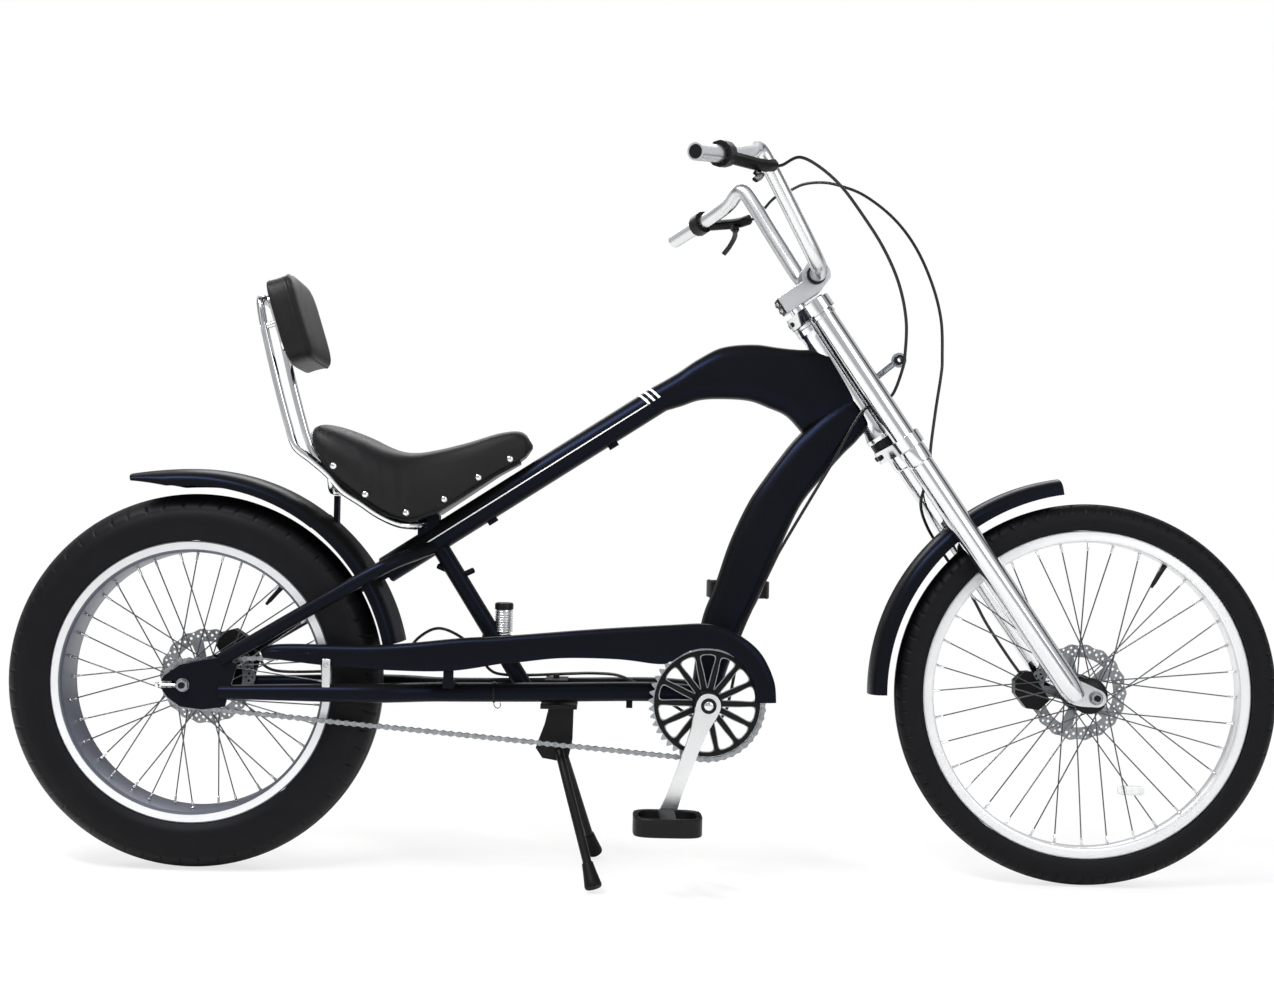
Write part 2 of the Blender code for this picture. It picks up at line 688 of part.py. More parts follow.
stem_outline = [(-0.022, -0.020), (-0.022, 0.020), (0.0, STEM_HALF_WIDTH), (0.040, STEM_HALF_WIDTH),
                (0.072, STEM_HALF_WIDTH), (0.072, -STEM_HALF_WIDTH), (0.040, -STEM_HALF_WIDTH), (0.0, -STEM_HALF_WIDTH)]
stem = steer_plate("stem", stem_outline, STEM_FOOT, STEM_TOP, ALLOY)
clamp_half = Vector((0, STEM_HALF_WIDTH, 0))
join(stem, cylinder("clamp", BAR_CENTRE - clamp_half, BAR_CENTRE + clamp_half, BAR_CLAMP_RADIUS, ALLOY, 20))
bored(stem, STEM_FOOT, STEM_TOP, STEERER_RADIUS + CLEARANCE, 0.0, 0.0)
carve(stem, handlebar)

# Brake perches and levers
CLAMP_LENGTH = 0.022
LEVER_TIP = Vector((0.856, 0.300, 1.059)) + STRETCH
LEVER_PIVOT = Vector((0.868, 0.214, 1.087)) + STRETCH
LEVER_ROOT_RADIUS = 0.0075
LEVER_ROOT_THICKNESS = 0.006
PERCH_LIFT = 0.0112         # the perch body's centre line above the lever's root
bar_end, bar_inner = BAR_HALF[-1], BAR_HALF[-2]
grip_way = (bar_end - bar_inner).normalized()
pull = bar_inner.lerp(bar_end, 0.57) - LEVER_TIP
LEVER_AXIS = (LEVER_TIP - LEVER_PIVOT).cross(pull).normalized()
if LEVER_AXIS.z < 0:
    LEVER_AXIS = -LEVER_AXIS


def brake_perch(name):
    centre = bar_inner + grip_way * 0.020
    half = grip_way * CLAMP_LENGTH / 2
    perch = cylinder(name, centre - half, centre + half, BAR_RADIUS + 0.006, PLASTIC, 12)
    shelf = LEVER_PIVOT + LEVER_AXIS * (LEVER_ROOT_THICKNESS / 2 + PERCH_LIFT)
    body = smooth_path([centre + Vector((0.012, -0.004, -0.004)), shelf + Vector((-0.012, 0.010, 0)), shelf,
                        shelf + Vector((0.018, -0.014, 0.004))], 6)
    join(perch, sweep("body", body, rounded(0.009, 0.008, 0.7, 8), PLASTIC))
    carve(perch, handlebar)
    pin = LEVER_PIVOT
    room = LEVER_AXIS * (LEVER_ROOT_THICKNESS / 2 + CLEARANCE)
    cut(perch, cylinder("room", pin - 3 * room, pin + room, LEVER_ROOT_RADIUS + 0.008, STEEL, 8))
    join(perch, cylinder("pin", pin - LEVER_AXIS * 0.0055, pin + LEVER_AXIS * 0.012, 0.0025, STEEL, 8))
    return perch


def brake_lever(name):
    pin = LEVER_PIVOT
    root = LEVER_AXIS * LEVER_ROOT_THICKNESS / 2
    lever = cylinder(name, pin - root, pin + root, LEVER_ROOT_RADIUS, PLASTIC, 14)
    blade = smooth_path([pin + Vector((0, 0.003, -0.001)), pin.lerp(LEVER_TIP, 0.35) + Vector((0.007, 0, 0.003)),
                         pin.lerp(LEVER_TIP, 0.7) + Vector((0.005, 0, 0.001)), LEVER_TIP], 8)
    join(lever, sweep("blade", blade, rounded(0.0045, 0.0026, 0.7, 8), PLASTIC, side=tuple(LEVER_AXIS.cross(
        (LEVER_TIP - pin).normalized()))))
    reach = LEVER_AXIS * 0.02
    return cut(lever, cylinder("drill", pin - reach, pin + reach, 0.0025 + CLEARANCE, STEEL, 12))


perch_left = brake_perch("brake_perch_left")
lever_left = brake_lever("brake_lever_left")
perch_right = mirrored(perch_left, "brake_perch_right")
mirrored(lever_left, "brake_lever_right")
for bore in bar_bores:
    cut(handlebar, bore)

# Lamp bracket: an eye ahead of the legs on a band round the left one
LAMP_EYE_UP = 0.615
LAMP_EYE_FORWARD = 0.090
eye = steer(LAMP_EYE_UP, LAMP_EYE_FORWARD)
half = Vector((0, 0.0025, 0))
lamp_bracket = cylinder("lamp_bracket", eye - half, eye + half, 0.0118, CHROME, 14)
arm = smooth_path([steer(LAMP_EYE_UP, LAMP_EYE_FORWARD - 0.010, 0),
                   steer(LAMP_EYE_UP - 0.002, 0.062, LEG_SPACING - 0.042),
                   steer(LAMP_EYE_UP - 0.004, 0.046, LEG_SPACING - 0.022),
                   steer(LAMP_EYE_UP - 0.005, FORK_OFFSET + 0.020, LEG_SPACING - 0.006)], 6)
band = [steer(LAMP_EYE_UP + level, FORK_OFFSET, LEG_SPACING) for level in (-0.013, 0.003)]
join(lamp_bracket, sweep("arm", arm, rounded(0.0020, 0.0050, 0.6, 8), CHROME, side=tuple(FORWARD)),
     cylinder("band", band[0], band[1], LEG_RADIUS + 0.003, CHROME, 14))
bored(lamp_bracket, LAMP_EYE_UP - 0.013, LAMP_EYE_UP + 0.003, LEG_RADIUS + BORE_GAP, FORK_OFFSET, LEG_SPACING)
cut(lamp_bracket, cylinder("drill", eye - 4 * half, eye + 4 * half, 0.008, STEEL, 12))

# Fenders
def fender(name, centre, radius, half_width, skirt, start, end, stations, tail=0.0):
    """A rolled sheet round the wheel, from one angle to another, whose tail may flick outwards."""
    wall = FENDER_WALL
    outer = [(-half_width, -skirt), (-half_width, -skirt * 0.42), (-half_width * 0.66, 0),
             (half_width * 0.66, 0), (half_width, -skirt * 0.42), (half_width, -skirt)]
    inner = [(half_width - wall, -skirt), (half_width - wall, -skirt * 0.42 - wall * 0.4),
             (half_width * 0.66 - wall * 0.3, -wall)]
    inner += [(-y, r) for y, r in reversed(inner)]
    rings = []
    for k in range(stations + 1):
        share = k / stations
        angle = start + (end - start) * share
        flick = tail * max(0.0, (share - 0.82) / 0.18) ** 2
        out = Vector((math.cos(angle), 0, math.sin(angle)))
        shrink = 1.0 - 0.5 * max(0.0, (share - 0.9) / 0.1) if tail else 1.0
        ring = []
        for y, drop in outer + inner:
            ring.append(centre + out * (radius + flick + drop * (1.0 if drop > -0.006 else shrink))
                        + Vector((0, y, 0)))
        rings.append(ring)
    return loft(name, rings, FRAME_PAINT)


rear_fender = fender("rear_fender", REAR_AXLE, REAR_FENDER_RADIUS, REAR_FENDER_HALF, REAR_FENDER_SKIRT,
                     math.radians(12), math.radians(107), 15, 0.006)
front_fender = fender("front_fender", FRONT_AXLE, FRONT_FENDER_RADIUS, FRONT_FENDER_HALF, FRONT_FENDER_SKIRT,
                      math.radians(98.6), math.radians(181), 12)
brace_up = FRONT_FENDER_RADIUS
brace = [(FORK_OFFSET - 0.010, -LEG_SPACING), (FORK_OFFSET + 0.010, -LEG_SPACING), (FORK_OFFSET + 0.010, LEG_SPACING),
         (FORK_OFFSET - 0.010, LEG_SPACING)]
fender_brace = steer_plate("brace", brace, brace_up - 0.003, brace_up + 0.005, FRAME_PAINT)
carve(fender_brace, *legs)
join(front_fender, fender_brace)

# Frame
def on_top_tube(x, offset=0.0):
    """A point on the top tube's centre line, or off it towards the top."""
    z = TOP_TUBE_HEIGHT_AT_AXLE + x * math.tan(TOP_TUBE_SLOPE)
    return Vector((x - offset * math.sin(TOP_TUBE_SLOPE), 0, z + offset * math.cos(TOP_TUBE_SLOPE)))


shell_half = Vector((0, SHELL_HALF, 0))
BRACKET = Vector((BRACKET_X, 0, BRACKET_Z))
bb_shell = pipe("bb_shell", BRACKET - shell_half, BRACKET + shell_half, SHELL_RADIUS, SPINDLE_RADIUS + RUNNING_GAP,
                FRAME_PAINT, 24)
top_tube = cylinder("top_tube", on_top_tube(TOP_TUBE_REAR_X), on_top_tube(TOP_TUBE_FRONT_X), TOP_TUBE_RADIUS,
                    FRAME_PAINT, 20)


def pair_loft(name, pairs, half_widths, power=0.55):
    """A tube whose section is given by its upper and lower edge points in side view."""
    rings = []
    for (edge_a, edge_b), half_width in zip(pairs, half_widths):
        a = Vector((edge_a[0] * MM, 0, edge_a[1] * MM))
        b = Vector((edge_b[0] * MM, 0, edge_b[1] * MM))
        middle, reach = (a + b) / 2, (a - b) / 2
        rings.append([middle + reach * v + Vector((0, u, 0)) for u, v in rounded(half_width, 1.0, power, 14)])
    return loft(name, rings, FRAME_PAINT)


TUBE_FOOT_LEVEL = 300       # millimetres up: below this the frame keeps its place when the wheelbase changes
TUBE_HEAD_LEVEL = 720       # above it the frame moves with the front wheel


def pairs_ahead(pairs, part, low, high):
    """Moves pairs of edge points with the front wheel: not at all at low, all the way at high."""
    moved = []
    for pair in pairs:
        middle = sum(point[part] for point in pair) / 2
        share = min(max((middle - low) / (high - low), 0), 1)
        moved.append([(x + share * STRETCH.x / MM, z) for x, z in pair])
    return moved


tube_end = on_top_tube(TOP_TUBE_FRONT_X + CLEARANCE, TOP_TUBE_RADIUS)
tube_foot = on_top_tube(TOP_TUBE_FRONT_X + CLEARANCE, -TOP_TUBE_RADIUS)
gusset_pairs = [((tube_end.x / MM, tube_end.z / MM), (tube_foot.x / MM, tube_foot.z / MM)),
                ((763, 811), (772, 758)), ((796, 834), (800, 768)), ((835, 854), (835, 771)), ((885, 860), (880, 769)),
                ((925, 856), (913, 758)), ((960, 853), (940, 744)), ((985, 854), (966, 720)), ((999, 853), (1066, 722))]
gusset_pairs = pairs_ahead(gusset_pairs, 0, 736, 960)
head_gusset = pair_loft("head_gusset", gusset_pairs,
                        [TOP_TUBE_RADIUS, 0.0235, 0.0245, 0.0255] + [DOWN_TUBE_HALF_WIDTH] * 5)
carve(head_gusset, head_tube, top_tube)
down_pairs = [((966.5, 719), (1066, 721)), ((950, 702), (1037, 690)), ((932, 678), (1005, 652)),
              ((912, 650), (972, 610)), ((883, 605), (951, 569)), ((854, 540), (925, 507)), ((831, 468), (902, 449)),
              ((811, 409), (874, 393)), ((797, 300), (841, 292))]
down_pairs = pairs_ahead(down_pairs, 1, TUBE_FOOT_LEVEL, TUBE_HEAD_LEVEL)
down_tube =pair_loft("down_tube", down_pairs, [DOWN_TUBE_HALF_WIDTH] * 5 + [0.0255, 0.025, 0.0245, 0.024])
carve(down_tube, head_tube, head_gusset, bb_shell)


def rail(name, side):
    """A lower frame rail that spreads past the tyre and ends at the dropout."""
    points = xyz([(800, 297, 42), (730, 300.5, 42), (560, 296, 42), (440, 293.5, 42), (385, 293, 47), (330, 293, 72),
                  (290, 292.5, 82), (220, 292, 86), (140, 291, 86.5), (56, 290, 88)])
    for p in points[:4]:
        p.y = RAIL_SPACING
    for p in points:
        p.y *= side
    path = smooth_path(points, 13)

    def section(share):
        radius = RAIL_RADIUS + (RAIL_END_RADIUS - RAIL_RADIUS) * max(0.0, (share - 0.7) / 0.3)
        return circle(radius, 10)
    return sweep(name, path, section, FRAME_PAINT, side=(0, 1, 0))


def dropout(name, side):
    outline = mm([(-36, 303), (-30, 314), (-6, 331), (30, 340), (56, 344), (84, 334), (72, 292), (66, 267), (30, 262),
                  (-4, 266), (-24, 280), (-36, 297)])
    low = min(side * DROPOUT_Y, side * (DROPOUT_Y + DROPOUT_THICKNESS))
    plate = prism(name, outline, low, low + DROPOUT_THICKNESS, FRAME_PAINT)
    slot = hull([(0.0, REAR_AXLE.z, AXLE_RADIUS + CLEARANCE), (-0.06, REAR_AXLE.z, AXLE_RADIUS + CLEARANCE)], 16)
    return cut(plate, prism("slot", slot, low - 0.01, low + 0.02, STEEL))


dropouts = {side: dropout("dropout_" + word, side) for side, word in ((1, "left"), (-1, "right"))}
rails = {side: rail("frame_rail_" + word, side) for side, word in ((1, "left"), (-1, "right"))}
for side, one in rails.items():
    carve(one, bb_shell, down_tube)
    carve(one, dropouts[side], gap=2 * CLEARANCE)

rail_bridge = cylinder("rail_bridge", (SEAT_TUBE_FOOT[0], -0.034, SEAT_TUBE_FOOT[1] - 0.004),
                       (SEAT_TUBE_FOOT[0], 0.034, SEAT_TUBE_FOOT[1] - 0.004), 0.012, FRAME_PAINT, 16)
carve(rail_bridge, *rails.values())
seat_tube = cylinder("seat_tube", (SEAT_TUBE_HEAD[0], 0, SEAT_TUBE_HEAD[1]), (SEAT_TUBE_FOOT[0], 0, SEAT_TUBE_FOOT[1]),
                     SEAT_TUBE_RADIUS, FRAME_PAINT, 16)
for start, end in (((404, 484), (384, 491)), ((420, 476), (442, 486))):
    join(seat_tube, cylinder("peg", (start[0] * MM, 0, start[1] * MM), (end[0] * MM, 0, end[1] * MM), 0.004,
                             FRAME_PAINT, 10))
carve(seat_tube, top_tube, rail_bridge, *rails.values())


def seat_stay(name, side):
    points = xyz([(376, 522, 14), (352, 511, 42), (322, 498, 70), (290, 480, 82), (200, 426, 86), (58, 340, 88)])
    for p in points:
        p.y *= side
    return sweep(name, smooth_path(points, 10), circle(STAY_RADIUS, 10), FRAME_PAINT, side=(0, 1, 0))


stays = {side: seat_stay("seat_stay_" + word, side) for side, word in ((1, "left"), (-1, "right"))}
for side, stay in stays.items():
    carve(stay, top_tube, dropouts[side], rails[side])

# Seat
SADDLE_STATIONS = [(188, 701, 688, 96), (204, 713, 664, 118), (230, 711, 632, 127), (270, 698, 601, 125),
                   (310, 682, 575, 112), (345, 676, 566, 94), (385, 681, 581, 72), (430, 692, 611, 54),
                   (480, 708, 645, 41), (514, 711, 664, 32), (533, 695, 680, 20)]


def saddle_height(x, column):
    """The saddle's top or bottom at a place along it."""
    for low, high in zip(SADDLE_STATIONS, SADDLE_STATIONS[1:]):
        if low[0] * MM <= x <= high[0] * MM:
            share = (x / MM - low[0]) / (high[0] - low[0])
            return (low[column] + (high[column] - low[column]) * share) * MM
    return SADDLE_STATIONS[0][column] * MM


def saddle_ring(station):
    x, high, low, half = (value * MM for value in station)
    drop = high - low
    shape = [(0.0, 1.0), (0.55, 0.97), (0.86, 0.82), (1.0, 0.50), (0.97, 0.20), (0.88, 0.0), (0.0, 0.0)]
    right = [(half * u, low + drop * v) for u, v in shape]
    left = [(-y, z) for y, z in reversed(right[1:-1])]
    return [Vector((x, y, z)) for y, z in right + left]


saddle = loft("saddle", [saddle_ring(s) for s in SADDLE_STATIONS], LEATHER)
pan_rings = []
for station in SADDLE_STATIONS[1:-1]:
    x, high, low, half_width = (value * MM for value in station)
    half_width = half_width * 0.88 - 0.004
    pan_rings.append([Vector((x, y, z)) for y, z in (
        (-half_width, low - CLEARANCE), (half_width, low - CLEARANCE),
        (half_width, low - CLEARANCE - PAN_THICKNESS), (-half_width, low - CLEARANCE - PAN_THICKNESS))])
saddle_pan = loft("saddle_pan", pan_rings, STEEL)

UNDER_PAN = CLEARANCE * 3 + PAN_THICKNESS + SISSY_RADIUS
sissy_side = xyz([(100, 912, 40), (102, 904, 62), (108, 876, 71), (129, 791, 72), (154, 704, 72), (170, 668, 71)])
for x_mm, y_mm in ((205, 70), (232, 68), (270, 66), (300, 62), (325, 56), (345, 46), (359, 30), (364, 14)):
    x = x_mm * MM
    lift = UNDER_PAN + (0.004 if x_mm < 240 else 0.0)
    sissy_side.append(Vector((x, y_mm * MM, saddle_height(x, 2) - lift)))
sissy_loop = sissy_side + [Vector((p.x, -p.y, p.z)) for p in reversed(sissy_side)]
sissy_path = smooth_path(sissy_loop, 34, closed=True)
sissy_bar = sweep("sissy_bar", sissy_path, circle(SISSY_RADIUS, 8), CHROME, closed=True)

PAD_CENTRE = Vector((0.155, 0, 0.877))
PAD_UP = Vector((-math.sin(PAD_LEAN), 0, math.cos(PAD_LEAN)))
PAD_OUT = Vector((math.cos(PAD_LEAN), 0, math.sin(PAD_LEAN)))


def pad_place(out, y, up):
    return PAD_CENTRE + PAD_OUT * out + PAD_UP * up + Vector((0, y, 0))


pad_rings = []
for out, shrink in ((-0.5, 0.90), (-0.42, 0.98), (-0.15, 1.0), (0.15, 1.0), (0.36, 0.95), (0.46, 0.82), (0.5, 0.5)):
    outline = rounded(PAD_WIDTH / 2 * shrink, PAD_HEIGHT / 2 * shrink, 0.42, 20)
    pad_rings.append([pad_place(out * PAD_THICKNESS, y, up) for y, up in outline])
backrest_pad = loft("backrest_pad", pad_rings, LEATHER)
back = -PAD_THICKNESS / 2 - CLEARANCE
plate_rings = [[pad_place(out, y, up) for y, up in rounded(0.084, 0.050, 0.3, 12)] for out in (back - 0.004, back)]
pad_plate = loft("plate", plate_rings, CHROME)
for side in (1, -1):
    reach = [pad_place(back - 0.002, side * SISSY_SPACING, 0), pad_place(back - 0.028, side * SISSY_SPACING, 0)]
    join(pad_plate, cylinder("stud", reach[0], reach[1], 0.005, CHROME, 8))
join(sissy_bar, pad_plate)
cross_half = xyz([(219.5, 629, 71), (219.5, 614, 62), (219.5, 607.5, 46), (219.5, 607.5, 20)])
cross_points = cross_half + [Vector((p.x, -p.y, p.z)) for p in reversed(cross_half)]
join(sissy_bar, sweep("cross", smooth_path(cross_points, 12), circle(0.005, 8), CHROME))
carve(saddle_pan, sissy_bar)
strap_outline = mm([(215.5, 556), (223.5, 551), (223.5, 602), (215.5, 602)])
strap = prism("strap", strap_outline, -0.012, 0.012, FRAME_PAINT)
tab_angle = math.radians(31.3)
tab_way = Vector((math.cos(tab_angle), 0, math.sin(tab_angle)))
tab_across = Vector((-tab_way.z, 0, tab_way.x))
tab = [REAR_AXLE + tab_way * r + tab_across * w for r, w in ((REAR_FENDER_RADIUS - 0.0015, -0.012),
       (REAR_FENDER_RADIUS + 0.016, -0.012), (REAR_FENDER_RADIUS + 0.016, 0.012), (REAR_FENDER_RADIUS - 0.0015, 0.012))]
join(rear_fender, strap, prism("tab", [(p.x, p.z) for p in tab], -0.010, 0.010, FRAME_PAINT))
carve(rear_fender, sissy_bar, top_tube)

seat_bracket = prism("seat_bracket", mm([(352, 535), (386, 540), (386, 573), (370, 580), (352, 574)]), -0.016, 0.016,
                     STEEL)
carve(seat_bracket, top_tube, sissy_bar, saddle_pan, saddle, seat_tube)

# Bottom bracket, chainring and cranks
CHAINRING_RADIUS = CHAIN_PITCH / (2 * math.sin(math.pi / CHAINRING_TEETH))
SPROCKET_RADIUS = CHAIN_PITCH / (2 * math.sin(math.pi / SPROCKET_TEETH))


def toothed(name, centre, teeth, pitch_radius, holes, material):
    """A thin disc whose edge rises into a tooth between every two rollers."""
    roots, tips = pitch_radius - 0.0042, pitch_radius + 0.0006
    outline = []
    for k in range(teeth):
        for share, radius in ((0.0, tips), (0.5, roots)):
            angle = 2 * math.pi * (k + share) / teeth
            outline.append((centre.x + radius * math.cos(angle), centre.z + radius * math.sin(angle)))
    half = TOOTH_THICKNESS / 2
    return pierced(name, outline, holes, centre.y - half, centre.y + half, material)


ring_centre = Vector((BRACKET_X, CHAIN_Y, BRACKET_Z))
ring_holes = [ring_points(ring_centre, SPINDLE_RADIUS + CLEARANCE, 20)]
for k in range(CHAINRING_ARMS):
    edge = math.pi / CHAINRING_ARMS
    middle = 2 * edge * (k + 0.5)
    window = []
    for reach, width in ((CHAINRING_BOSS, 0.0026), (CHAINRING_RIM, 0.0038)):
        spread = edge - width / reach
        corners = (-spread, spread) if reach == CHAINRING_BOSS else (spread, 0.0, -spread)
        window += [(ring_centre.x + reach * math.cos(middle + a), ring_centre.z + reach * math.sin(middle + a))
                   for a in corners]
    ring_holes.append(window)
chainring = toothed("chainring", ring_centre, CHAINRING_TEETH, CHAINRING_RADIUS, ring_holes, ALLOY)
boss_half = Vector((0, CHAINRING_BOSS_HALF, 0))
join(chainring, pipe("boss", ring_centre - boss_half, ring_centre + boss_half, CHAINRING_BOSS - 0.001,
                     SPINDLE_RADIUS + CLEARANCE, ALLOY, 20))

sprocket_centre = Vector((0, CHAIN_Y, REAR_AXLE.z))
toothed("rear_sprocket", sprocket_centre, SPROCKET_TEETH, SPROCKET_RADIUS,
        [ring_points(sprocket_centre, HUB_NECK_RADIUS + RUNNING_GAP, 14)], STEEL)


def crank_direction(side):
    """The way a crank points: the right one hangs back, the left one is opposite."""
    way = Vector((-math.sin(CRANK_ANGLE), 0, -math.cos(CRANK_ANGLE)))
    return way if side < 0 else -way


def crank(name, side):
    way = crank_direction(side)
    eye = BRACKET + way * CRANK_LENGTH
    turn = Vector((-way.z, 0, way.x))
    outline = []
    for along, half_width in ((-0.019, 0.008), (-0.012, 0.016), (0, 0.019), (0.018, 0.0165), (0.05, 0.012),
                              (0.15, 0.011), (0.175, 0.0135), (0.190, 0.0135), (0.199, 0.008)):
        outline.append((along, half_width))
    edge = [BRACKET + way * a + turn * w for a, w in outline]
    edge += [BRACKET + way * a - turn * w for a, w in reversed(outline)]
    low = side * CRANK_INNER
    high = side * (CRANK_INNER + CRANK_THICKNESS)
    arm = prism(name, [(p.x, p.z) for p in edge], min(low, high), max(low, high), ALLOY)
    hole = Vector((0, 0.02, 0))
    place = Vector((eye.x, (low + high) / 2, eye.z))
    return cut(arm, cylinder("drill", place - hole, place + hole, PEDAL_AXLE_RADIUS + CLEARANCE, STEEL, 14))


crank_left = crank("crank_left", 1)
spindle_start = BRACKET + Vector((0, CRANK_INNER + 0.004, 0))
spindle_end = BRACKET - Vector((0, CRANK_INNER - CLEARANCE, 0))
join(crank_left, cylinder("spindle", spindle_start, spindle_end, SPINDLE_RADIUS, STEEL, 20))
crank_right = crank("crank_right", -1)
collar_start = BRACKET - Vector((0, -CHAIN_Y + CHAINRING_BOSS_HALF + CLEARANCE, 0))
join(crank_right, pipe("collar", collar_start, BRACKET - Vector((0, CRANK_INNER + 0.004, 0)), 0.013,
                       SPINDLE_RADIUS + CLEARANCE, STEEL, 20))
spindle_clear = BRACKET + Vector((0, CHAIN_Y, 0))
cut(crank_right, cylinder("drill", spindle_clear, spindle_end - Vector((0, CLEARANCE, 0)), SPINDLE_RADIUS + CLEARANCE,
                          STEEL, 20))


def pedal(name, side):
    """A block pedal: two treads on a cage round the pedal axle."""
    way = crank_direction(side)
    eye = BRACKET + way * CRANK_LENGTH
    inner = CRANK_INNER + CRANK_THICKNESS + PEDAL_GAP
    low, high = sorted((side * inner, side * (inner + PEDAL_WIDTH)))
    outline = []
    for k in range(16):
        angle = 2 * math.pi * (k + 0.5) / 16
        c, s = math.cos(angle), math.sin(angle)
        outline.append((eye.x + PEDAL_LENGTH / 2 * math.copysign(abs(c) ** 0.4, c),
                        eye.z + PEDAL_HEIGHT / 2 * math.copysign(abs(s) ** 0.4, s)))
    body = prism(name, outline, low, high, PLASTIC)
    for sign in (1, -1):
        for k in range(2):
            ridge = sign * (PEDAL_HEIGHT / 2 + 0.001)
            y = low + (high - low) * (k + 1) / 3
            groove = [(eye.x + a, eye.z + ridge + b) for a, b in ((-0.06, -0.0025), (0.06, -0.0025), (0.06, 0.006),
                                                                 (-0.06, 0.006))]
            cut(body, prism("groove", groove, y - 0.0025, y + 0.0025, STEEL))
    start = Vector((eye.x, side * (CRANK_INNER + 0.002), eye.z))
    end = Vector((eye.x, side * (inner + 0.02), eye.z))
    return join(body, cylinder("axle", start, end, PEDAL_AXLE_RADIUS, STEEL, 14))


pedal("pedal_left", 1)
pedal("pedal_right", -1)


def chain_path():
    """The chain's pins round both sprockets: (place, outward, whether an outer link starts there)."""
    big, small = CHAINRING_RADIUS, SPROCKET_RADIUS
    a, b = Vector((0, 0, REAR_AXLE.z)), Vector((BRACKET_X, 0, BRACKET_Z))
    gap = b - a
    base = math.atan2(gap.z, gap.x)
    spread = math.acos((big - small) / gap.length)
    up_angle, down_angle = base + math.pi - spread, base - math.pi + spread
    top_small = a + Vector((math.cos(up_angle), 0, math.sin(up_angle))) * small
    top_big = b + Vector((math.cos(up_angle), 0, math.sin(up_angle))) * big
    low_small = a + Vector((math.cos(down_angle), 0, math.sin(down_angle))) * small
    low_big = b + Vector((math.cos(down_angle), 0, math.sin(down_angle))) * big
    stations = []

    def straight(start, end, links):
        out = Vector((-(end - start).z, 0, (end - start).x)).normalized()
        for k in range(links):
            stations.append((start.lerp(end, k / links), out, len(stations) % 2 == 0))

    def arc(centre, radius, start, end, links):
        for k in range(links):
            angle = start + (end - start) * k / links
            out = Vector((math.cos(angle), 0, math.sin(angle)))
            stations.append((centre + out * radius, out, len(stations) % 2 == 0))

    run = (top_big - top_small).length
    straight(top_small, top_big, HIDDEN_RUN_STATIONS)
    arc(b, big, up_angle, down_angle, round(big * (up_angle - down_angle) / CHAIN_PITCH))
    straight(low_big, low_small, round(run / CHAIN_PITCH))
    arc(a, small, down_angle + 2 * math.pi, up_angle, round(small * (down_angle + 2 * math.pi - up_angle) / CHAIN_PITCH))
    return stations


def chain():
    rings = []
    for place, out, pin in chain_path():
        half = (LINK_HEIGHT_AT_PIN if pin else LINK_WAIST) / 2
        inner = LINK_HALF_WIDTH - LINK_PLATE
        bridge = 0.0012
        ring = []
        for y, r in ((-LINK_HALF_WIDTH, -half), (-LINK_HALF_WIDTH, half), (LINK_HALF_WIDTH, half),
                     (LINK_HALF_WIDTH, -half), (inner, -half), (inner, bridge), (-inner, bridge), (-inner, -half)):
            ring.append(place + out * r + Vector((0, CHAIN_Y + y, 0)))
        rings.append(ring)
    return loft("chain", rings, STEEL, closed=True)


chain()

# Chain guard
guard_top = [(118, 357), (150, 366), (304, 368), (429, 381), (498, 386), (643, 400), (760, 409), (808, 412),
             (836, 408), (869, 394), (895, 374), (911, 351), (923, 321), (926, 291)]
guard_bottom = [(892, 291), (890, 320), (878, 342), (848, 368), (816, 374), (788, 369), (759, 352), (739, 348),
                (677, 354), (590, 354), (522, 346), (494, 343), (422, 331), (342, 329), (230, 334), (124, 345)]
chain_guard = prism("chain_guard", mm(guard_top + guard_bottom), -GUARD_OUTER, -GUARD_OUTER + GUARD_WALL, FRAME_PAINT)
flange = 0.0032
flange_rings = []
lip = [Vector((x * MM, 0, z * MM)) for x, z in guard_top]
for i, point in enumerate(lip):
    way = (lip[min(i + 1, len(lip) - 1)] - lip[max(i - 1, 0)]).normalized()
    inward = Vector((way.z, 0, -way.x))
    low = point + inward * (0.0004 + flange)
    high = point + inward * 0.0004
    flange_rings.append([Vector((p.x, y, p.z)) for p, y in ((high, -GUARD_OUTER + 0.0005), (high, -GUARD_FLANGE_INNER),
                                                            (low, -GUARD_FLANGE_INNER), (low, -GUARD_OUTER + 0.0005))])
join(chain_guard, loft("flange", flange_rings, FRAME_PAINT))
GUARD_INNER_FACE = -GUARD_OUTER + GUARD_WALL + CLEARANCE
guard_strap = prism("guard_strap", mm([(404, 303), (422, 303), (422, 315), (404, 315)]), GUARD_INNER_FACE, -RAIL_SPACING,
                    FRAME_PAINT)
join(guard_strap, prism("tab", mm([(405, 304), (421, 304), (421, 342), (405, 342)]), GUARD_INNER_FACE,
                        GUARD_INNER_FACE + 0.004, FRAME_PAINT))
carve(guard_strap, rails[-1])
join(chain_guard, prism("foot", mm([(217, 296), (230, 296), (230, 346), (217, 346)]), -GUARD_OUTER - 0.004,
                        -GUARD_OUTER + 0.0005, ALLOY))
carve(chain_guard, stays[-1], rails[-1])

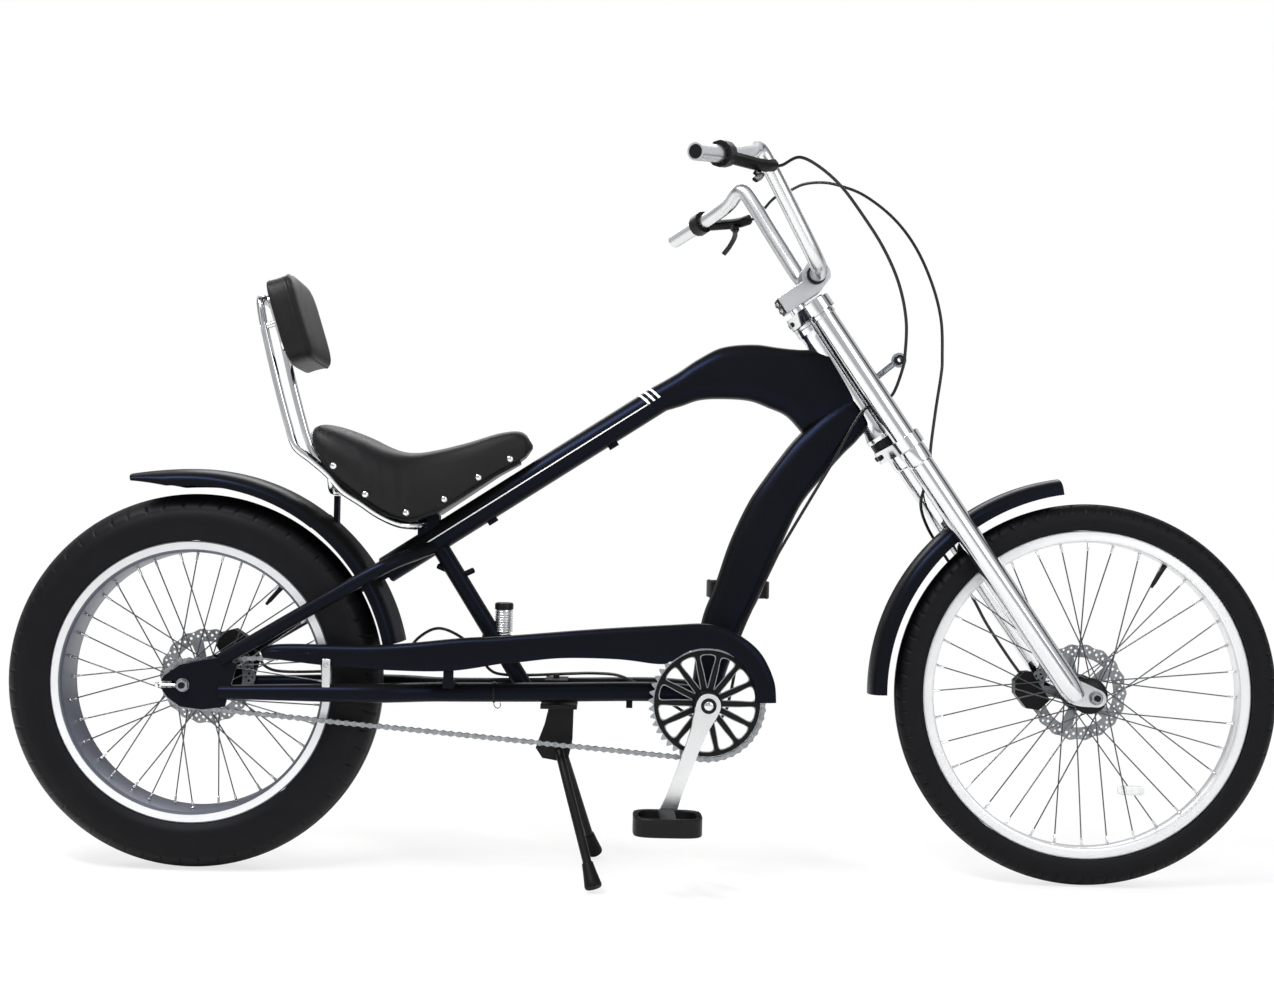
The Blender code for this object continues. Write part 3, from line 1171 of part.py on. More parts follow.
# Stand
stand_bracket = prism("stand_bracket", mm([(556, 270), (614, 270), (614, 277), (556, 277)]), -0.050, 0.050, STEEL)
for side in (1, -1):
    low = min(side * STAND_CHEEK_Y, side * (STAND_CHEEK_Y + STAND_CHEEK_THICKNESS))
    cheek = prism("cheek", mm([(569, 272), (608, 272), (607, 214), (601, 187), (590, 184), (560, 189), (549, 205),
                               (562, 241)]), low, low + STAND_CHEEK_THICKNESS, STEEL)
    join(stand_bracket, cheek)
join(stand_bracket, cylinder("bolt", (0.579, 0, 0.272), (0.579, 0, 0.322), 0.005, STEEL, 10),
     prism("clamp", mm([(562, 309), (598, 309), (598, 315), (562, 315)]), -0.036, 0.036, STEEL))
pivot = Vector((STAND_PIVOT[0], 0, STAND_PIVOT[1]))
drill_reach = Vector((0, 0.04, 0))
cut(stand_bracket, cylinder("drill", pivot - drill_reach, pivot + drill_reach, 0.006 + CLEARANCE, STEEL, 14))
carve(stand_bracket, *rails.values())


def stand_leg(side):
    foot = Vector((STAND_FOOT_X, side * STAND_FOOT_Y, 0.004))
    start = Vector((STAND_PIVOT[0], side * 0.040, STAND_PIVOT[1]))
    path = smooth_path([Vector((STAND_PIVOT[0], side * 0.030, STAND_PIVOT[1] + 0.001)), start,
                        start.lerp(foot, 0.25) + Vector((0, side * 0.004, 0)), start.lerp(foot, 0.6), foot], 6)
    leg = sweep("leg", path, circle(STAND_LEG_RADIUS, 8), STEEL)
    boot = revolve("boot", [(0, 0), (0.013, 0), (0.013, 0.022), (0.010, 0.034), (0, 0.034)], PLASTIC,
                   Vector((foot.x, foot.y, 0.0)), (0, 0, 1), 10)
    return join(leg, boot)


stand = cylinder("stand", pivot - Vector((0, 0.034, 0)), pivot + Vector((0, 0.034, 0)), 0.006, STEEL, 14)
for side in (1, -1):
    join(stand, stand_leg(side))

# Calipers: each straddles its disc
front_caliper_corners = [(-0.046, 0.016), (-0.046, 0.072), (-0.056, 0.078), (-0.076, 0.074), (-0.088, 0.056),
                         (-0.086, 0.026), (-0.070, 0.012)]
rings = [[steer(up, forward + AXLE_FORWARD, y) for forward, up in front_caliper_corners] for y in (0.0285, 0.0530)]
front_caliper = loft("front_caliper", rings, STEEL)
lug_corners = [(-0.060, 0.020), (-0.030, 0.030), (-0.030, 0.064), (-0.060, 0.070)]
rings = [[steer(up, forward + AXLE_FORWARD, y) for forward, up in lug_corners] for y in (0.0425, 0.0530)]
join(front_caliper, loft("lug", rings, STEEL))


def rotor_slot(axle_place, y):
    reach = Vector((0, ROTOR_THICKNESS / 2 + 0.0012, 0))
    middle = axle_place + Vector((0, y, 0))
    return cylinder("slot", middle - reach, middle + reach, ROTOR_RADIUS + 0.002, STEEL, 36)


cut(front_caliper, rotor_slot(FRONT_AXLE, FRONT_ROTOR_Y))
carve(front_caliper, legs[0])
rear_caliper = prism("rear_caliper", mm([(14, 352), (22, 340), (56, 332), (70, 344), (66, 366), (44, 380), (22, 374)]),
                     0.0585, 0.0855, STEEL)
cut(rear_caliper, rotor_slot(REAR_AXLE, REAR_ROTOR_Y))
carve(rear_caliper, stays[1], dropouts[1])

# Ribbed cylinder beside the seat tube's foot
RIBS = 5
ribbed_profile = [(0, 0.381), (0.0115, 0.381), (0.0115, 0.387)]
for k in range(RIBS):
    z = 0.388 + 0.034 * k / RIBS
    ribbed_profile += [(0.0125, z), (0.0145, z + 0.0020)]
ribbed_profile += [(0.0135, 0.4235), (0.0150, 0.4250), (0.0150, 0.4330), (0.0125, 0.4355), (0, 0.4355)]
ribbed = revolve("ribbed_cylinder", ribbed_profile, CHROME, (0.4925, 0, 0), (0, 0, 1), 10)
join(ribbed, prism("foot", mm([(458, 377), (500, 377), (500, 383), (458, 383)]), -0.008, 0.008, PLASTIC))
carve(ribbed, seat_tube)


def cable(name, points, count):
    """A round cable along a smooth path."""
    path = smooth_path(points, count)
    curve = bpy.data.curves.new(name, "CURVE")
    curve.dimensions = "3D"
    curve.bevel_depth = CABLE_RADIUS
    curve.bevel_resolution = 2
    curve.use_fill_caps = True
    spline = curve.splines.new("POLY")
    spline.points.add(len(path) - 1)
    for point, place in zip(spline.points, path):
        point.co = (*place, 1.0)
    curve.materials.append(PLASTIC)
    thing = bpy.data.objects.new(name, curve)
    bpy.context.collection.objects.link(thing)
    return thing


perch_end = LEVER_PIVOT + LEVER_AXIS * (LEVER_ROOT_THICKNESS / 2 + PERCH_LIFT) + Vector((0.0185, -0.0145, 0.004))
exit_way = Vector((0.018, -0.014, 0.004)).normalized()
front_start = perch_end + exit_way * CLEARANCE
rear_start = Vector((front_start.x, -front_start.y, front_start.z))


def cable_ahead(place):
    """Moves a cable point with the front wheel: all the way at the head, not at all at and behind the cranks."""
    level = (place.z / MM - TUBE_FOOT_LEVEL) / (TUBE_HEAD_LEVEL - TUBE_FOOT_LEVEL)
    share = min(max(level, 0), 1) if place.x > BRACKET_X else 0
    return place + share * STRETCH


REAR_CABLE = [rear_start, rear_start + Vector((0.012, 0.0095, 0.003))] + [cable_ahead(p) for p in xyz([
    (934, 1125, -165), (965, 1116, -150), (1001, 1091, -135), (1035, 1055, -118), (1075, 1004, -98),
    (1104, 951, -80), (1120, 896, -62), (1122, 845, -48), (1119, 818, -40), (1106, 781, -32), (1085, 768, -29.7),
    (1062, 757, -30), (1043, 728, -30.5), (1024, 692, -30), (1008, 662, -29.8), (985, 622, -29.8), (939, 541, -29.5),
    (921, 505, -29), (872, 393, -28.5), (866, 345, -30), (858, 296, -28), (848, 262, -20), (824, 251, 0), (790, 262, 12),
    (752, 285, 14), (715, 304, 18), (680, 319, 27), (640, 321, 37), (600, 319, 42.5), (540, 315.5, 43),
    (494, 315, 43), (469, 322, 45),
    (448, 348, 48), (420, 374, 52), (382, 388, 57), (349, 372, 66), (320, 338, 72), (285, 317, 77), (200, 311, 84),
    (120, 309, 84), (92, 318, 78), (82, 337, 72), (74, 350, 70)])]
FRONT_CABLE = [front_start, front_start + Vector((0.012, -0.0095, 0.003))] + [p + STRETCH for p in xyz([
    (929, 1131, 165), (953, 1141, 150), (977, 1151, 138), (1007, 1152, 125), (1036, 1145, 115), (1076, 1127, 104),
    (1123, 1088, 92), (1159, 1039, 82), (1186, 977, 72), (1201, 915, 64), (1203, 852, 58), (1201, 824, 54),
    (1192, 765, 48), (1183, 700, 38), (1180, 662, 27), (1172, 636, 27), (1168, 608, 34), (1180, 577, 48),
    (1204, 540, 58), (1258, 464, 61), (1286, 415, 61)])]
FRONT_CABLE +=[steer(0.110, -0.060 + AXLE_FORWARD, 0.054), steer(0.0785, -0.060 + AXLE_FORWARD, 0.047)]
cable("rear_brake_cable", REAR_CABLE, 58)
cable("front_brake_cable", FRONT_CABLE, 34)

triangles = 0
for thing in bpy.data.objects:
    if thing.type == "MESH":
        count = sum(len(face.vertices) - 2 for face in thing.data.polygons)
        triangles += count
        print(thing.name, count)
print("triangles without the cables", triangles)
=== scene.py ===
# Chopper bicycle: the finished look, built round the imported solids.
# X runs forward from the rear axle, Y to the rider's left, Z up from the ground, all in metres.
import math

import bmesh
import bpy
import numpy as np
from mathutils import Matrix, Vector
from mathutils.geometry import tessellate_polygon


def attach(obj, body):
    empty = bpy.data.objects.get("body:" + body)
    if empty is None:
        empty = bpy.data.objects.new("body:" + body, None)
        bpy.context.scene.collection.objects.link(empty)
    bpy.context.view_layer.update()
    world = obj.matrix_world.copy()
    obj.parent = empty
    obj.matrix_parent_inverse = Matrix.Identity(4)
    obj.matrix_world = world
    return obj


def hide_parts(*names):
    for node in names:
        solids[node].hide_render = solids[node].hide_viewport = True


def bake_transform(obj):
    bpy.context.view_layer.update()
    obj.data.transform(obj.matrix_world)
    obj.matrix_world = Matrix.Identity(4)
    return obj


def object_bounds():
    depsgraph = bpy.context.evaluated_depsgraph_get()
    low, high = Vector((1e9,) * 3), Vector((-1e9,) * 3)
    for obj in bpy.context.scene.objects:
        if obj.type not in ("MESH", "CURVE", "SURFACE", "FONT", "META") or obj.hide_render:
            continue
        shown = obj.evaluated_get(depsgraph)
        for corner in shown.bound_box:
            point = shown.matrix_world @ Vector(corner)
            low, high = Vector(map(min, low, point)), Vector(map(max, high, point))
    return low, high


print("reading the solids")
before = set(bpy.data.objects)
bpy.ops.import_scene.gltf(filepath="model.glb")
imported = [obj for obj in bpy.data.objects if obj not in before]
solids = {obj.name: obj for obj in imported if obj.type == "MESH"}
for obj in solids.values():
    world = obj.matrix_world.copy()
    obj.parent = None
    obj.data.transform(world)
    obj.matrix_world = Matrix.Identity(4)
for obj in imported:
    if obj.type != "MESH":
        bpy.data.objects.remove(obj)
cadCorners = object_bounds()


# colour and finish helpers
def linearColour(code):  # an sRGB hex value as the linear colour that Blender works in
    values = [int(code[k:k + 2], 16) / 255 for k in (1, 3, 5)]
    return tuple(v / 12.92 if v <= 0.04045 else ((v + 0.055) / 1.055) ** 2.4 for v in values) + (1.0,)


def addNode(tree, kind, inputs=None, **settings):  # one node, its settings and what feeds it
    made = tree.nodes.new(kind)
    for name, value in settings.items():
        setattr(made, name, value)
    for name, value in (inputs or {}).items():
        if isinstance(value, bpy.types.NodeSocket):
            tree.links.new(value, made.inputs[name])
        else:
            made.inputs[name].default_value = value
    return made


def newFinish(name, look):
    # tone wanders between two colours over patchMm and roughness between two values; grain gives the bump
    material = bpy.data.materials.new(name)
    material.use_nodes = True
    tree = material.node_tree
    shader = tree.nodes["Principled BSDF"]
    shader.inputs["Metallic"].default_value = look.get("metallic", 0.0)
    shader.inputs["IOR"].default_value = look.get("ior", 1.5)
    shader.inputs["Specular Tint"].default_value = linearColour(look.get("glint", "#ffffff"))
    shader.inputs["Specular IOR Level"].default_value = look.get("shine", 0.5)
    where = addNode(tree, "ShaderNodeTexCoord").outputs["Object"]
    patches = addNode(tree, "ShaderNodeTexNoise", {"Vector": where, "Scale": 1000 / look["patchMm"],
                                                   "Detail": 3.0})
    grain = addNode(tree, "ShaderNodeTexNoise", {"Vector": where, "Scale": 1000 / look["grainMm"],
                                                 "Detail": 2.0})
    tone = addNode(tree, "ShaderNodeMix", {0: patches.outputs["Fac"], 6: linearColour(look["colours"][0]),
                                           7: linearColour(look["colours"][1])}, data_type="RGBA")
    rough = addNode(tree, "ShaderNodeMapRange", {"Value": grain.outputs["Fac"], "From Min": 0.3,
                                                 "From Max": 0.7, "To Min": look["roughness"][0],
                                                 "To Max": look["roughness"][1]})
    bump = addNode(tree, "ShaderNodeBump", {"Strength": look.get("bump", 0.2),
                                            "Height": grain.outputs["Fac"],
                                            "Distance": look.get("grainDepthMm", 0.05) / 1000})
    tree.links.new(tone.outputs[2], shader.inputs["Base Color"])
    tree.links.new(rough.outputs[0], shader.inputs["Roughness"])
    tree.links.new(bump.outputs[0], shader.inputs["Normal"])
    return material


print("mixing the finishes")
# satin powder coat with a pearl flake: near black, with a blue glint in its highlights
satinPaint = newFinish("satin pearl powder coat", {
    "colours": ("#0e0e0d", "#121211"), "roughness": (0.28, 0.33), "patchMm": 160, "grainMm": 0.8,
    "bump": 0.08, "grainDepthMm": 0.03, "shine": 0.10, "glint": "#86a6ff"})
# chrome plate over polished steel: a clear mirror with the faintest haze
chromePlate = newFinish("bright chrome plate", {"colours": ("#d0d2d4", "#dcdddf"), "metallic": 1.0,
                                                "roughness": (0.07, 0.10), "patchMm": 60, "grainMm": 3,
                                                "bump": 0.02, "grainDepthMm": 0.02})
# polished aluminium: bright, with a soft haze over its reflections
polishedAlloy = newFinish("polished aluminium", {"colours": ("#cfd1d3", "#dadbdc"), "metallic": 1.0,
                                                 "roughness": (0.24, 0.27), "patchMm": 40, "grainMm": 4,
                                                 "bump": 0.02, "grainDepthMm": 0.02})
# blasted aluminium: pale, without a mirror
blastedAlloy = newFinish("blasted aluminium", {"colours": ("#b9bcbf", "#c9cbcd"), "metallic": 1.0,
                                               "roughness": (0.34, 0.44), "patchMm": 50, "grainMm": 0.7,
                                               "bump": 0.10, "grainDepthMm": 0.03})
# machined rim sides: nearly white and evenly satin
rimAlloy = newFinish("machined rim aluminium", {"colours": ("#d9dadc", "#e2e3e4"), "metallic": 0.6,
                                                "roughness": (0.30, 0.36), "patchMm": 90, "grainMm": 0.6,
                                                "bump": 0.02, "grainDepthMm": 0.02})
# ground stainless steel of the brake discs: a middling grey
discSteel = newFinish("ground stainless disc steel", {"colours": ("#7c7f82", "#8d9093"), "metallic": 1.0,
                                                      "roughness": (0.28, 0.38), "patchMm": 20,
                                                      "grainMm": 0.6, "bump": 0.05, "grainDepthMm": 0.02})
# the rim's barrel: slate grey anodised aluminium
barrelAlloy = newFinish("slate anodised aluminium", {"colours": ("#50545f", "#5c606b"), "metallic": 0.4,
                                                     "roughness": (0.36, 0.44), "patchMm": 90,
                                                     "grainMm": 0.8, "bump": 0.05, "grainDepthMm": 0.02})
# zinc plated nuts and bolts: grey with a faint blue cast
zincSteel = newFinish("zinc plated steel", {"colours": ("#8b8f94", "#a3a7ab"), "metallic": 1.0,
                                            "roughness": (0.22, 0.34), "patchMm": 8, "grainMm": 0.9,
                                            "bump": 0.06, "grainDepthMm": 0.03})
# drawn stainless wire: grey, with a narrow shine
spokeWire = newFinish("drawn stainless wire", {"colours": ("#4e5054", "#63666a"), "metallic": 1.0,
                                               "roughness": (0.24, 0.34), "patchMm": 20, "grainMm": 1,
                                               "bump": 0.03})
# nickel plated chain steel, with a film of oil that makes its tone patchy
chainSteel = newFinish("nickel plated chain steel", {"colours": ("#6f7275", "#a0a3a5"), "metallic": 1.0,
                                                     "roughness": (0.20, 0.38), "patchMm": 7, "grainMm": 1.5,
                                                     "bump": 0.08, "grainDepthMm": 0.04})
# black oxide steel: dark, dull metal
blackSteel = newFinish("black oxide steel", {"colours": ("#0d0d0f", "#151517"), "metallic": 0.35,
                                             "roughness": (0.34, 0.46), "patchMm": 30, "grainMm": 0.9,
                                             "bump": 0.10, "grainDepthMm": 0.04, "shine": 0.2})
# black anodised aluminium: deep black with a soft sheen
blackAnodised = newFinish("black anodised aluminium", {
    "colours": ("#070708", "#0c0c0d"), "roughness": (0.28, 0.36), "patchMm": 40, "grainMm": 0.8,
    "bump": 0.05, "shine": 0.16})
# vulcanised rubber with carbon black: dark grey rather than black, and dull
tyreRubber = newFinish("vulcanised tyre rubber", {
    "colours": ("#09090b", "#101014"), "roughness": (0.44, 0.58), "patchMm": 35, "grainMm": 1.0,
    "bump": 0.16, "grainDepthMm": 0.05, "ior": 1.52, "shine": 0.11})
# moulded nylon: black, slightly grainy
mouldedNylon = newFinish("moulded black nylon", {
    "colours": ("#08080a", "#0e0e10"), "roughness": (0.34, 0.46), "patchMm": 25, "grainMm": 0.7,
    "bump": 0.14, "grainDepthMm": 0.05, "ior": 1.53, "shine": 0.17})
# extruded vinyl cable housing: smooth and glossy black
cableVinyl = newFinish("extruded vinyl housing", {
    "colours": ("#060607", "#0a0a0b"), "roughness": (0.24, 0.32), "patchMm": 30, "grainMm": 2,
    "bump": 0.03, "ior": 1.53, "shine": 0.35})
# gloss enamel stripe: plain white
whiteEnamel = newFinish("white gloss enamel", {
    "colours": ("#dfe1e4", "#eceded"), "roughness": (0.22, 0.30), "patchMm": 30, "grainMm": 2,
    "bump": 0.02})
# reflector plastic: milky white
milkyPlastic = newFinish("milky reflector plastic", {
    "colours": ("#c9cccd", "#dcdedd"), "roughness": (0.25, 0.35), "patchMm": 6, "grainMm": 1,
    "bump": 0.2, "grainDepthMm": 0.1})


def leatherFinish(name, look):  # pebbled grain, its cells drawn larger than real so that they show
    material = newFinish(name, look)
    tree = material.node_tree
    shader = tree.nodes["Principled BSDF"]
    where = next(n for n in tree.nodes if n.type == "TEX_COORD").outputs["Object"]
    wobble = addNode(tree, "ShaderNodeTexNoise", {"Vector": where, "Scale": 1000 / 9, "Detail": 2.0})
    shifted = addNode(tree, "ShaderNodeMix", {0: 0.06, 4: where, 5: wobble.outputs["Color"]},
                      data_type="VECTOR")
    cells = addNode(tree, "ShaderNodeTexVoronoi", {"Vector": shifted.outputs[1],
                                                   "Scale": 1000 / look["cellMm"]},
                    feature="DISTANCE_TO_EDGE")
    crease = addNode(tree, "ShaderNodeMapRange", {"Value": cells.outputs["Distance"], "From Max": 0.12})
    pebbles = addNode(tree, "ShaderNodeBump", {"Strength": 0.35, "Distance": 0.0003,
                                               "Height": crease.outputs[0]})
    tree.links.new(pebbles.outputs[0], shader.inputs["Normal"])
    return material


# coated split leather: black, with a soft shine on the pebbles
saddleLeather = leatherFinish("coated black leather", {
    "colours": ("#08080a", "#101012"), "roughness": (0.34, 0.46), "patchMm": 45, "grainMm": 2,
    "cellMm": 3.2, "shine": 0.22})


# shape helpers
def vec(*values):  # numbers as an array
    return np.array(values, float)


def unit(v):  # each vector divided by its length
    return v / np.linalg.norm(v, axis=-1, keepdims=True)


def smoothCurve(points, count, closed=False):
    # a Catmull-Rom curve through the points, cut into even steps of its length
    p = np.array(points, float)
    p = np.vstack([p[-1:], p, p[:2]]) if closed else np.vstack([p[:1], p, p[-1:]])
    t = np.linspace(0, 1, 16, endpoint=False)[:, None, None]
    a, b, c, d = p[:-3], p[1:-2], p[2:-1], p[3:]
    fine = 0.5 * (2 * b + (c - a) * t + (2 * a - 5 * b + 4 * c - d) * t ** 2 + (3 * b - a - 3 * c + d) * t **
                  3)
    fine = np.vstack([fine.transpose(1, 0, 2).reshape(-1, p.shape[1]), p[1:2] if closed else p[-2:-1]])
    far = np.r_[0, np.cumsum(np.linalg.norm(np.diff(fine, axis=0), axis=1))]
    want = np.linspace(0, far[-1], count, endpoint=not closed)
    return np.stack([np.interp(want, far, fine[:, k]) for k in range(p.shape[1])], 1)


def mm(points):  # (x, z, y) in millimetres, or (x, z), as metres with y last moved to the middle
    p = np.array(points, float) / 1000
    return p[:, [0, 2, 1]] if p.shape[1] == 3 else p


def ovalSection(halfAcross, halfUp, power=1.0, sides=20):
    # x = a cos^power, y = b sin^power: a circle at power 1, squarer below it
    angle = np.arange(sides) * 2 * np.pi / sides
    c, s = np.cos(angle), np.sin(angle)
    return np.stack([halfAcross * np.sign(c) * np.abs(c) ** power, halfUp * np.sign(s) * np.abs(s) ** power],
                    -1)


def carried(path, section, side, closed=False):
    # a section (across, up) carried along a path: across is the side direction made square to the path
    path = np.array(path, float)
    if closed:
        along = unit(np.roll(path, -1, 0) - np.roll(path, 1, 0))
    else:
        along = unit(np.gradient(path, axis=0))
    side = np.array(side, float)
    across = unit(side - along * (along @ side)[:, None])
    up = np.cross(along, across)
    section = np.broadcast_to(section, (len(path),) + section.shape[-2:])
    return path[:, None] + across[:, None] * section[..., :1] + up[:, None] * section[..., 1:]


def turned(profile, centre, axis, steps=48):
    # each (radius, along) point of a profile turned once round an axis
    profile = np.array(profile, float)
    axis = unit(np.array(axis, float))
    other = vec(0, 0, -1) if abs(axis[1]) > 0.9 else vec(0, 1, 0)
    first = unit(other - axis * (other @ axis))
    second = np.cross(axis, first)
    angle = np.linspace(0, 2 * np.pi, steps, endpoint=False)[None, :, None]
    out = first * np.cos(angle) + second * np.sin(angle)
    return np.array(centre) + axis * profile[:, None, 1:] + out * profile[:, None, :1]


def turnedRod(radius, start, end, steps=32, chamfer=0.001):
    # a straight round bar with softened ends
    start, end = np.array(start, float), np.array(end, float)
    length = np.linalg.norm(end - start)
    profile = [(radius * 0.35, 0), (radius - chamfer, 0), (radius, chamfer), (radius, length - chamfer),
               (radius - chamfer, length), (radius * 0.35, length)]
    return turned(profile, start, end - start, steps)


def putMesh(name, mesh, material, body, stands=(), crease=35, bevel=0.0):
    # makes a mesh one finished piece: faces outwards, material, smooth shading, bevel, and what carries it
    bm = bmesh.new()
    bm.from_mesh(mesh)
    bmesh.ops.recalc_face_normals(bm, faces=bm.faces)
    if bm.calc_volume(signed=True) < 0:
        bmesh.ops.reverse_faces(bm, faces=bm.faces)
    bm.to_mesh(mesh)
    bm.free()
    mesh.materials.clear()
    mesh.materials.append(material)
    mesh.shade_smooth()
    mesh.set_sharp_from_angle(angle=math.radians(crease))
    piece = bpy.data.objects.new(name, mesh)
    bpy.context.scene.collection.objects.link(piece)
    if bevel:
        edge = piece.modifiers.new("softened edges", "BEVEL")
        edge.width = bevel
        edge.segments = 2
        edge.limit_method = "ANGLE"
        edge.angle_limit = math.radians(32)
        edge.use_clamp_overlap = True
    if body:
        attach(piece, body)
    if stands:
        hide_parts(*([stands] if isinstance(stands, str) else stands))
    return piece


def gridFaces(rows, columns, loop, first=0):
    # squares between neighbouring rows, closed round each row
    # in a loop the last row joins the first, else both ends are capped
    index = np.arange(rows * columns).reshape(rows, columns) + first
    near, far = (index, np.roll(index, -1, 0)) if loop else (index[:-1], index[1:])
    quads = np.stack([near, np.roll(near, -1, 1), np.roll(far, -1, 1), far], -1).reshape(-1, 4).tolist()
    return quads if loop else quads + [index[0][::-1].tolist(), index[-1].tolist()]


def surface(name, grids, material, body, stands=(), loop=False, crease=35, bevel=0.0):
    # one grid, or several that make one piece: rows run along it, columns round it, and open ends are closed
    grids = grids if isinstance(grids, list) else [grids]
    points, faces, count = [], [], 0
    for grid in grids:
        rows, columns = grid.shape[:2]
        faces += gridFaces(rows, columns, loop, count)
        points.append(grid.reshape(-1, 3))
        count += rows * columns
    mesh = bpy.data.meshes.new(name)
    mesh.from_pydata(np.vstack(points), [], faces)
    return putMesh(name, mesh, material, body, stands, crease, bevel)


def pierced(outline, holes, low, high, toWorld):
    # points and faces of a flat outline with holes, given a thickness; toWorld maps (a, b, depth) to a place
    loops = [np.array(loop, float) for loop in [outline] + list(holes)]
    flat = np.vstack(loops)
    inside = np.array(tessellate_polygon([[Vector((*p, 0)) for p in loop] for loop in loops]))
    count = len(flat)
    points = np.vstack([toWorld(flat[:, 0], flat[:, 1], low), toWorld(flat[:, 0], flat[:, 1], high)])
    faces = inside.tolist() + (inside[:, ::-1] + count).tolist()
    start = 0
    for loop in loops:
        k = np.arange(len(loop)) + start
        nextOne = np.roll(k, -1)
        faces += np.stack([k, nextOne, nextOne + count, k + count], -1).tolist()
        start += len(loop)
    return points, faces


def plate(name, outline, holes, low, high, material, body, stands=(), toWorld=None, crease=35,
          bevel=0.0):
    # a flat piece with holes, in the side view unless toWorld says otherwise
    toWorld = toWorld or (lambda a, b, depth: np.stack([a, np.full(len(a), depth), b], -1))
    points, faces = pierced(outline, holes, low, high, toWorld)
    mesh = bpy.data.meshes.new(name)
    mesh.from_pydata(points, [], faces)
    if bevel:  # flat faces become one again, so that the bevel runs only along real edges
        bm = bmesh.new()
        bm.from_mesh(mesh)
        bmesh.ops.dissolve_limit(bm, angle_limit=0.01, verts=bm.verts, edges=bm.edges)
        bm.to_mesh(mesh)
        bm.free()
    return putMesh(name, mesh, material, body, stands, crease, bevel)


def dressed(name, node, material, body, bevel=0.0006, crease=32):
    # a merged copy of a solid whose shape is right, with its edges softened
    bm = bmesh.new()
    bm.from_mesh(solids[node].data)
    bmesh.ops.remove_doubles(bm, verts=bm.verts, dist=1e-6)
    bmesh.ops.dissolve_limit(bm, angle_limit=0.005, verts=bm.verts, edges=bm.edges)
    mesh = bpy.data.meshes.new(name)
    bm.to_mesh(mesh)
    bm.free()
    return putMesh(name, mesh, material, body, node, crease, bevel)


def circleAt(centre, radius, sides):  # points of a circle in a flat outline
    angle = np.arange(sides) * 2 * np.pi / sides
    return np.stack([centre[0] + radius * np.cos(angle), centre[1] + radius * np.sin(angle)], 1)


# camera
print("placing the camera and the lights")
camera = {"place": (0.6528, -2.600, 0.5448), "lens": 45.5, "roll": -0.02141, "shiftX": 0.0251,
          "shiftY": 0.0324}
cameraData = bpy.data.cameras.new("camera")
cameraData.lens = camera["lens"]
cameraData.sensor_width = 36.0
cameraData.shift_x = camera["shiftX"]
cameraData.shift_y = camera["shiftY"]
cameraData.clip_end = 60
cameraObject = bpy.data.objects.new("camera", cameraData)
cameraObject.location = camera["place"]
cameraObject.rotation_euler = (math.pi / 2, camera["roll"], 0)
bpy.context.scene.collection.objects.link(cameraObject)
bpy.context.scene.camera = cameraObject
bpy.context.scene.view_settings.view_transform = "Standard"

# floor, backdrop and lamps
studio = {"floorColour": "#f3f3f1", "floorLift": 0.72, "aim": (0.7, 0, 0.4),
          "evenGrey": (0.62, 0.62, 0.63, 1)}
lamps = {"keyBox": {"place": (-0.9, -1.4, 3.1), "size": (2.6, 0.3), "watts": 125},
         "fillBox": {"place": (2.6, -2.4, 1.6), "size": (1.4, 1.8), "watts": 26},
         "backBox": {"place": (0.7, 2.4, 2.4), "size": (3.0, 1.0), "watts": 34}}
world = bpy.data.worlds.new("studio")
bpy.context.scene.world = world
world.use_nodes = True
skyTree = world.node_tree
skyTree.nodes.clear()
rays = addNode(skyTree, "ShaderNodeLightPath")
# what mirrors see: pale in front, then white and black bands on the way round to the back, for streaks
skyWay = addNode(skyTree, "ShaderNodeTexCoord").outputs["Generated"]
skyParts = addNode(skyTree, "ShaderNodeSeparateXYZ", {0: skyWay})
behind = addNode(skyTree, "ShaderNodeMath", {0: skyParts.outputs["Y"], 1: 0.5, 2: 0.5},
                 operation="MULTIPLY_ADD")
skyBands = addNode(skyTree, "ShaderNodeValToRGB", {0: behind.outputs[0]})
skyBands.color_ramp.elements[0].color = (0.66, 0.66, 0.67, 1)
skyBands.color_ramp.elements[1].color = (0.07, 0.07, 0.075, 1)
for place, grey in ((0.045, 0.62), (0.075, 0.24), (0.10, 0.30), (0.135, 0.96), (0.22, 0.90), (0.30, 0.52),
                    (0.42, 0.56), (0.47, 0.10), (0.55, 0.04), (0.62, 0.28), (0.72, 0.72), (0.85, 0.84),
                    (0.94, 0.26)):
    stop = skyBands.color_ramp.elements.new(place)
    stop.color = (grey, grey, grey * 1.03, 1)
seen = addNode(skyTree, "ShaderNodeMath", {0: rays.outputs["Is Camera Ray"],
                                           1: rays.outputs["Is Transmission Ray"]}, operation="MAXIMUM")
evenSky = addNode(skyTree, "ShaderNodeMix", {0: rays.outputs["Is Glossy Ray"], 6: studio["evenGrey"],
                                             7: skyBands.outputs[0]}, data_type="RGBA")
wholeSky = addNode(skyTree, "ShaderNodeMix", {0: seen.outputs[0], 6: evenSky.outputs[2], 7: (1, 1, 1, 1)},
                   data_type="RGBA")
glow = addNode(skyTree, "ShaderNodeBackground", {"Color": wholeSky.outputs[2], "Strength": 1.0})
addNode(skyTree, "ShaderNodeOutputWorld", {"Surface": glow.outputs[0]})

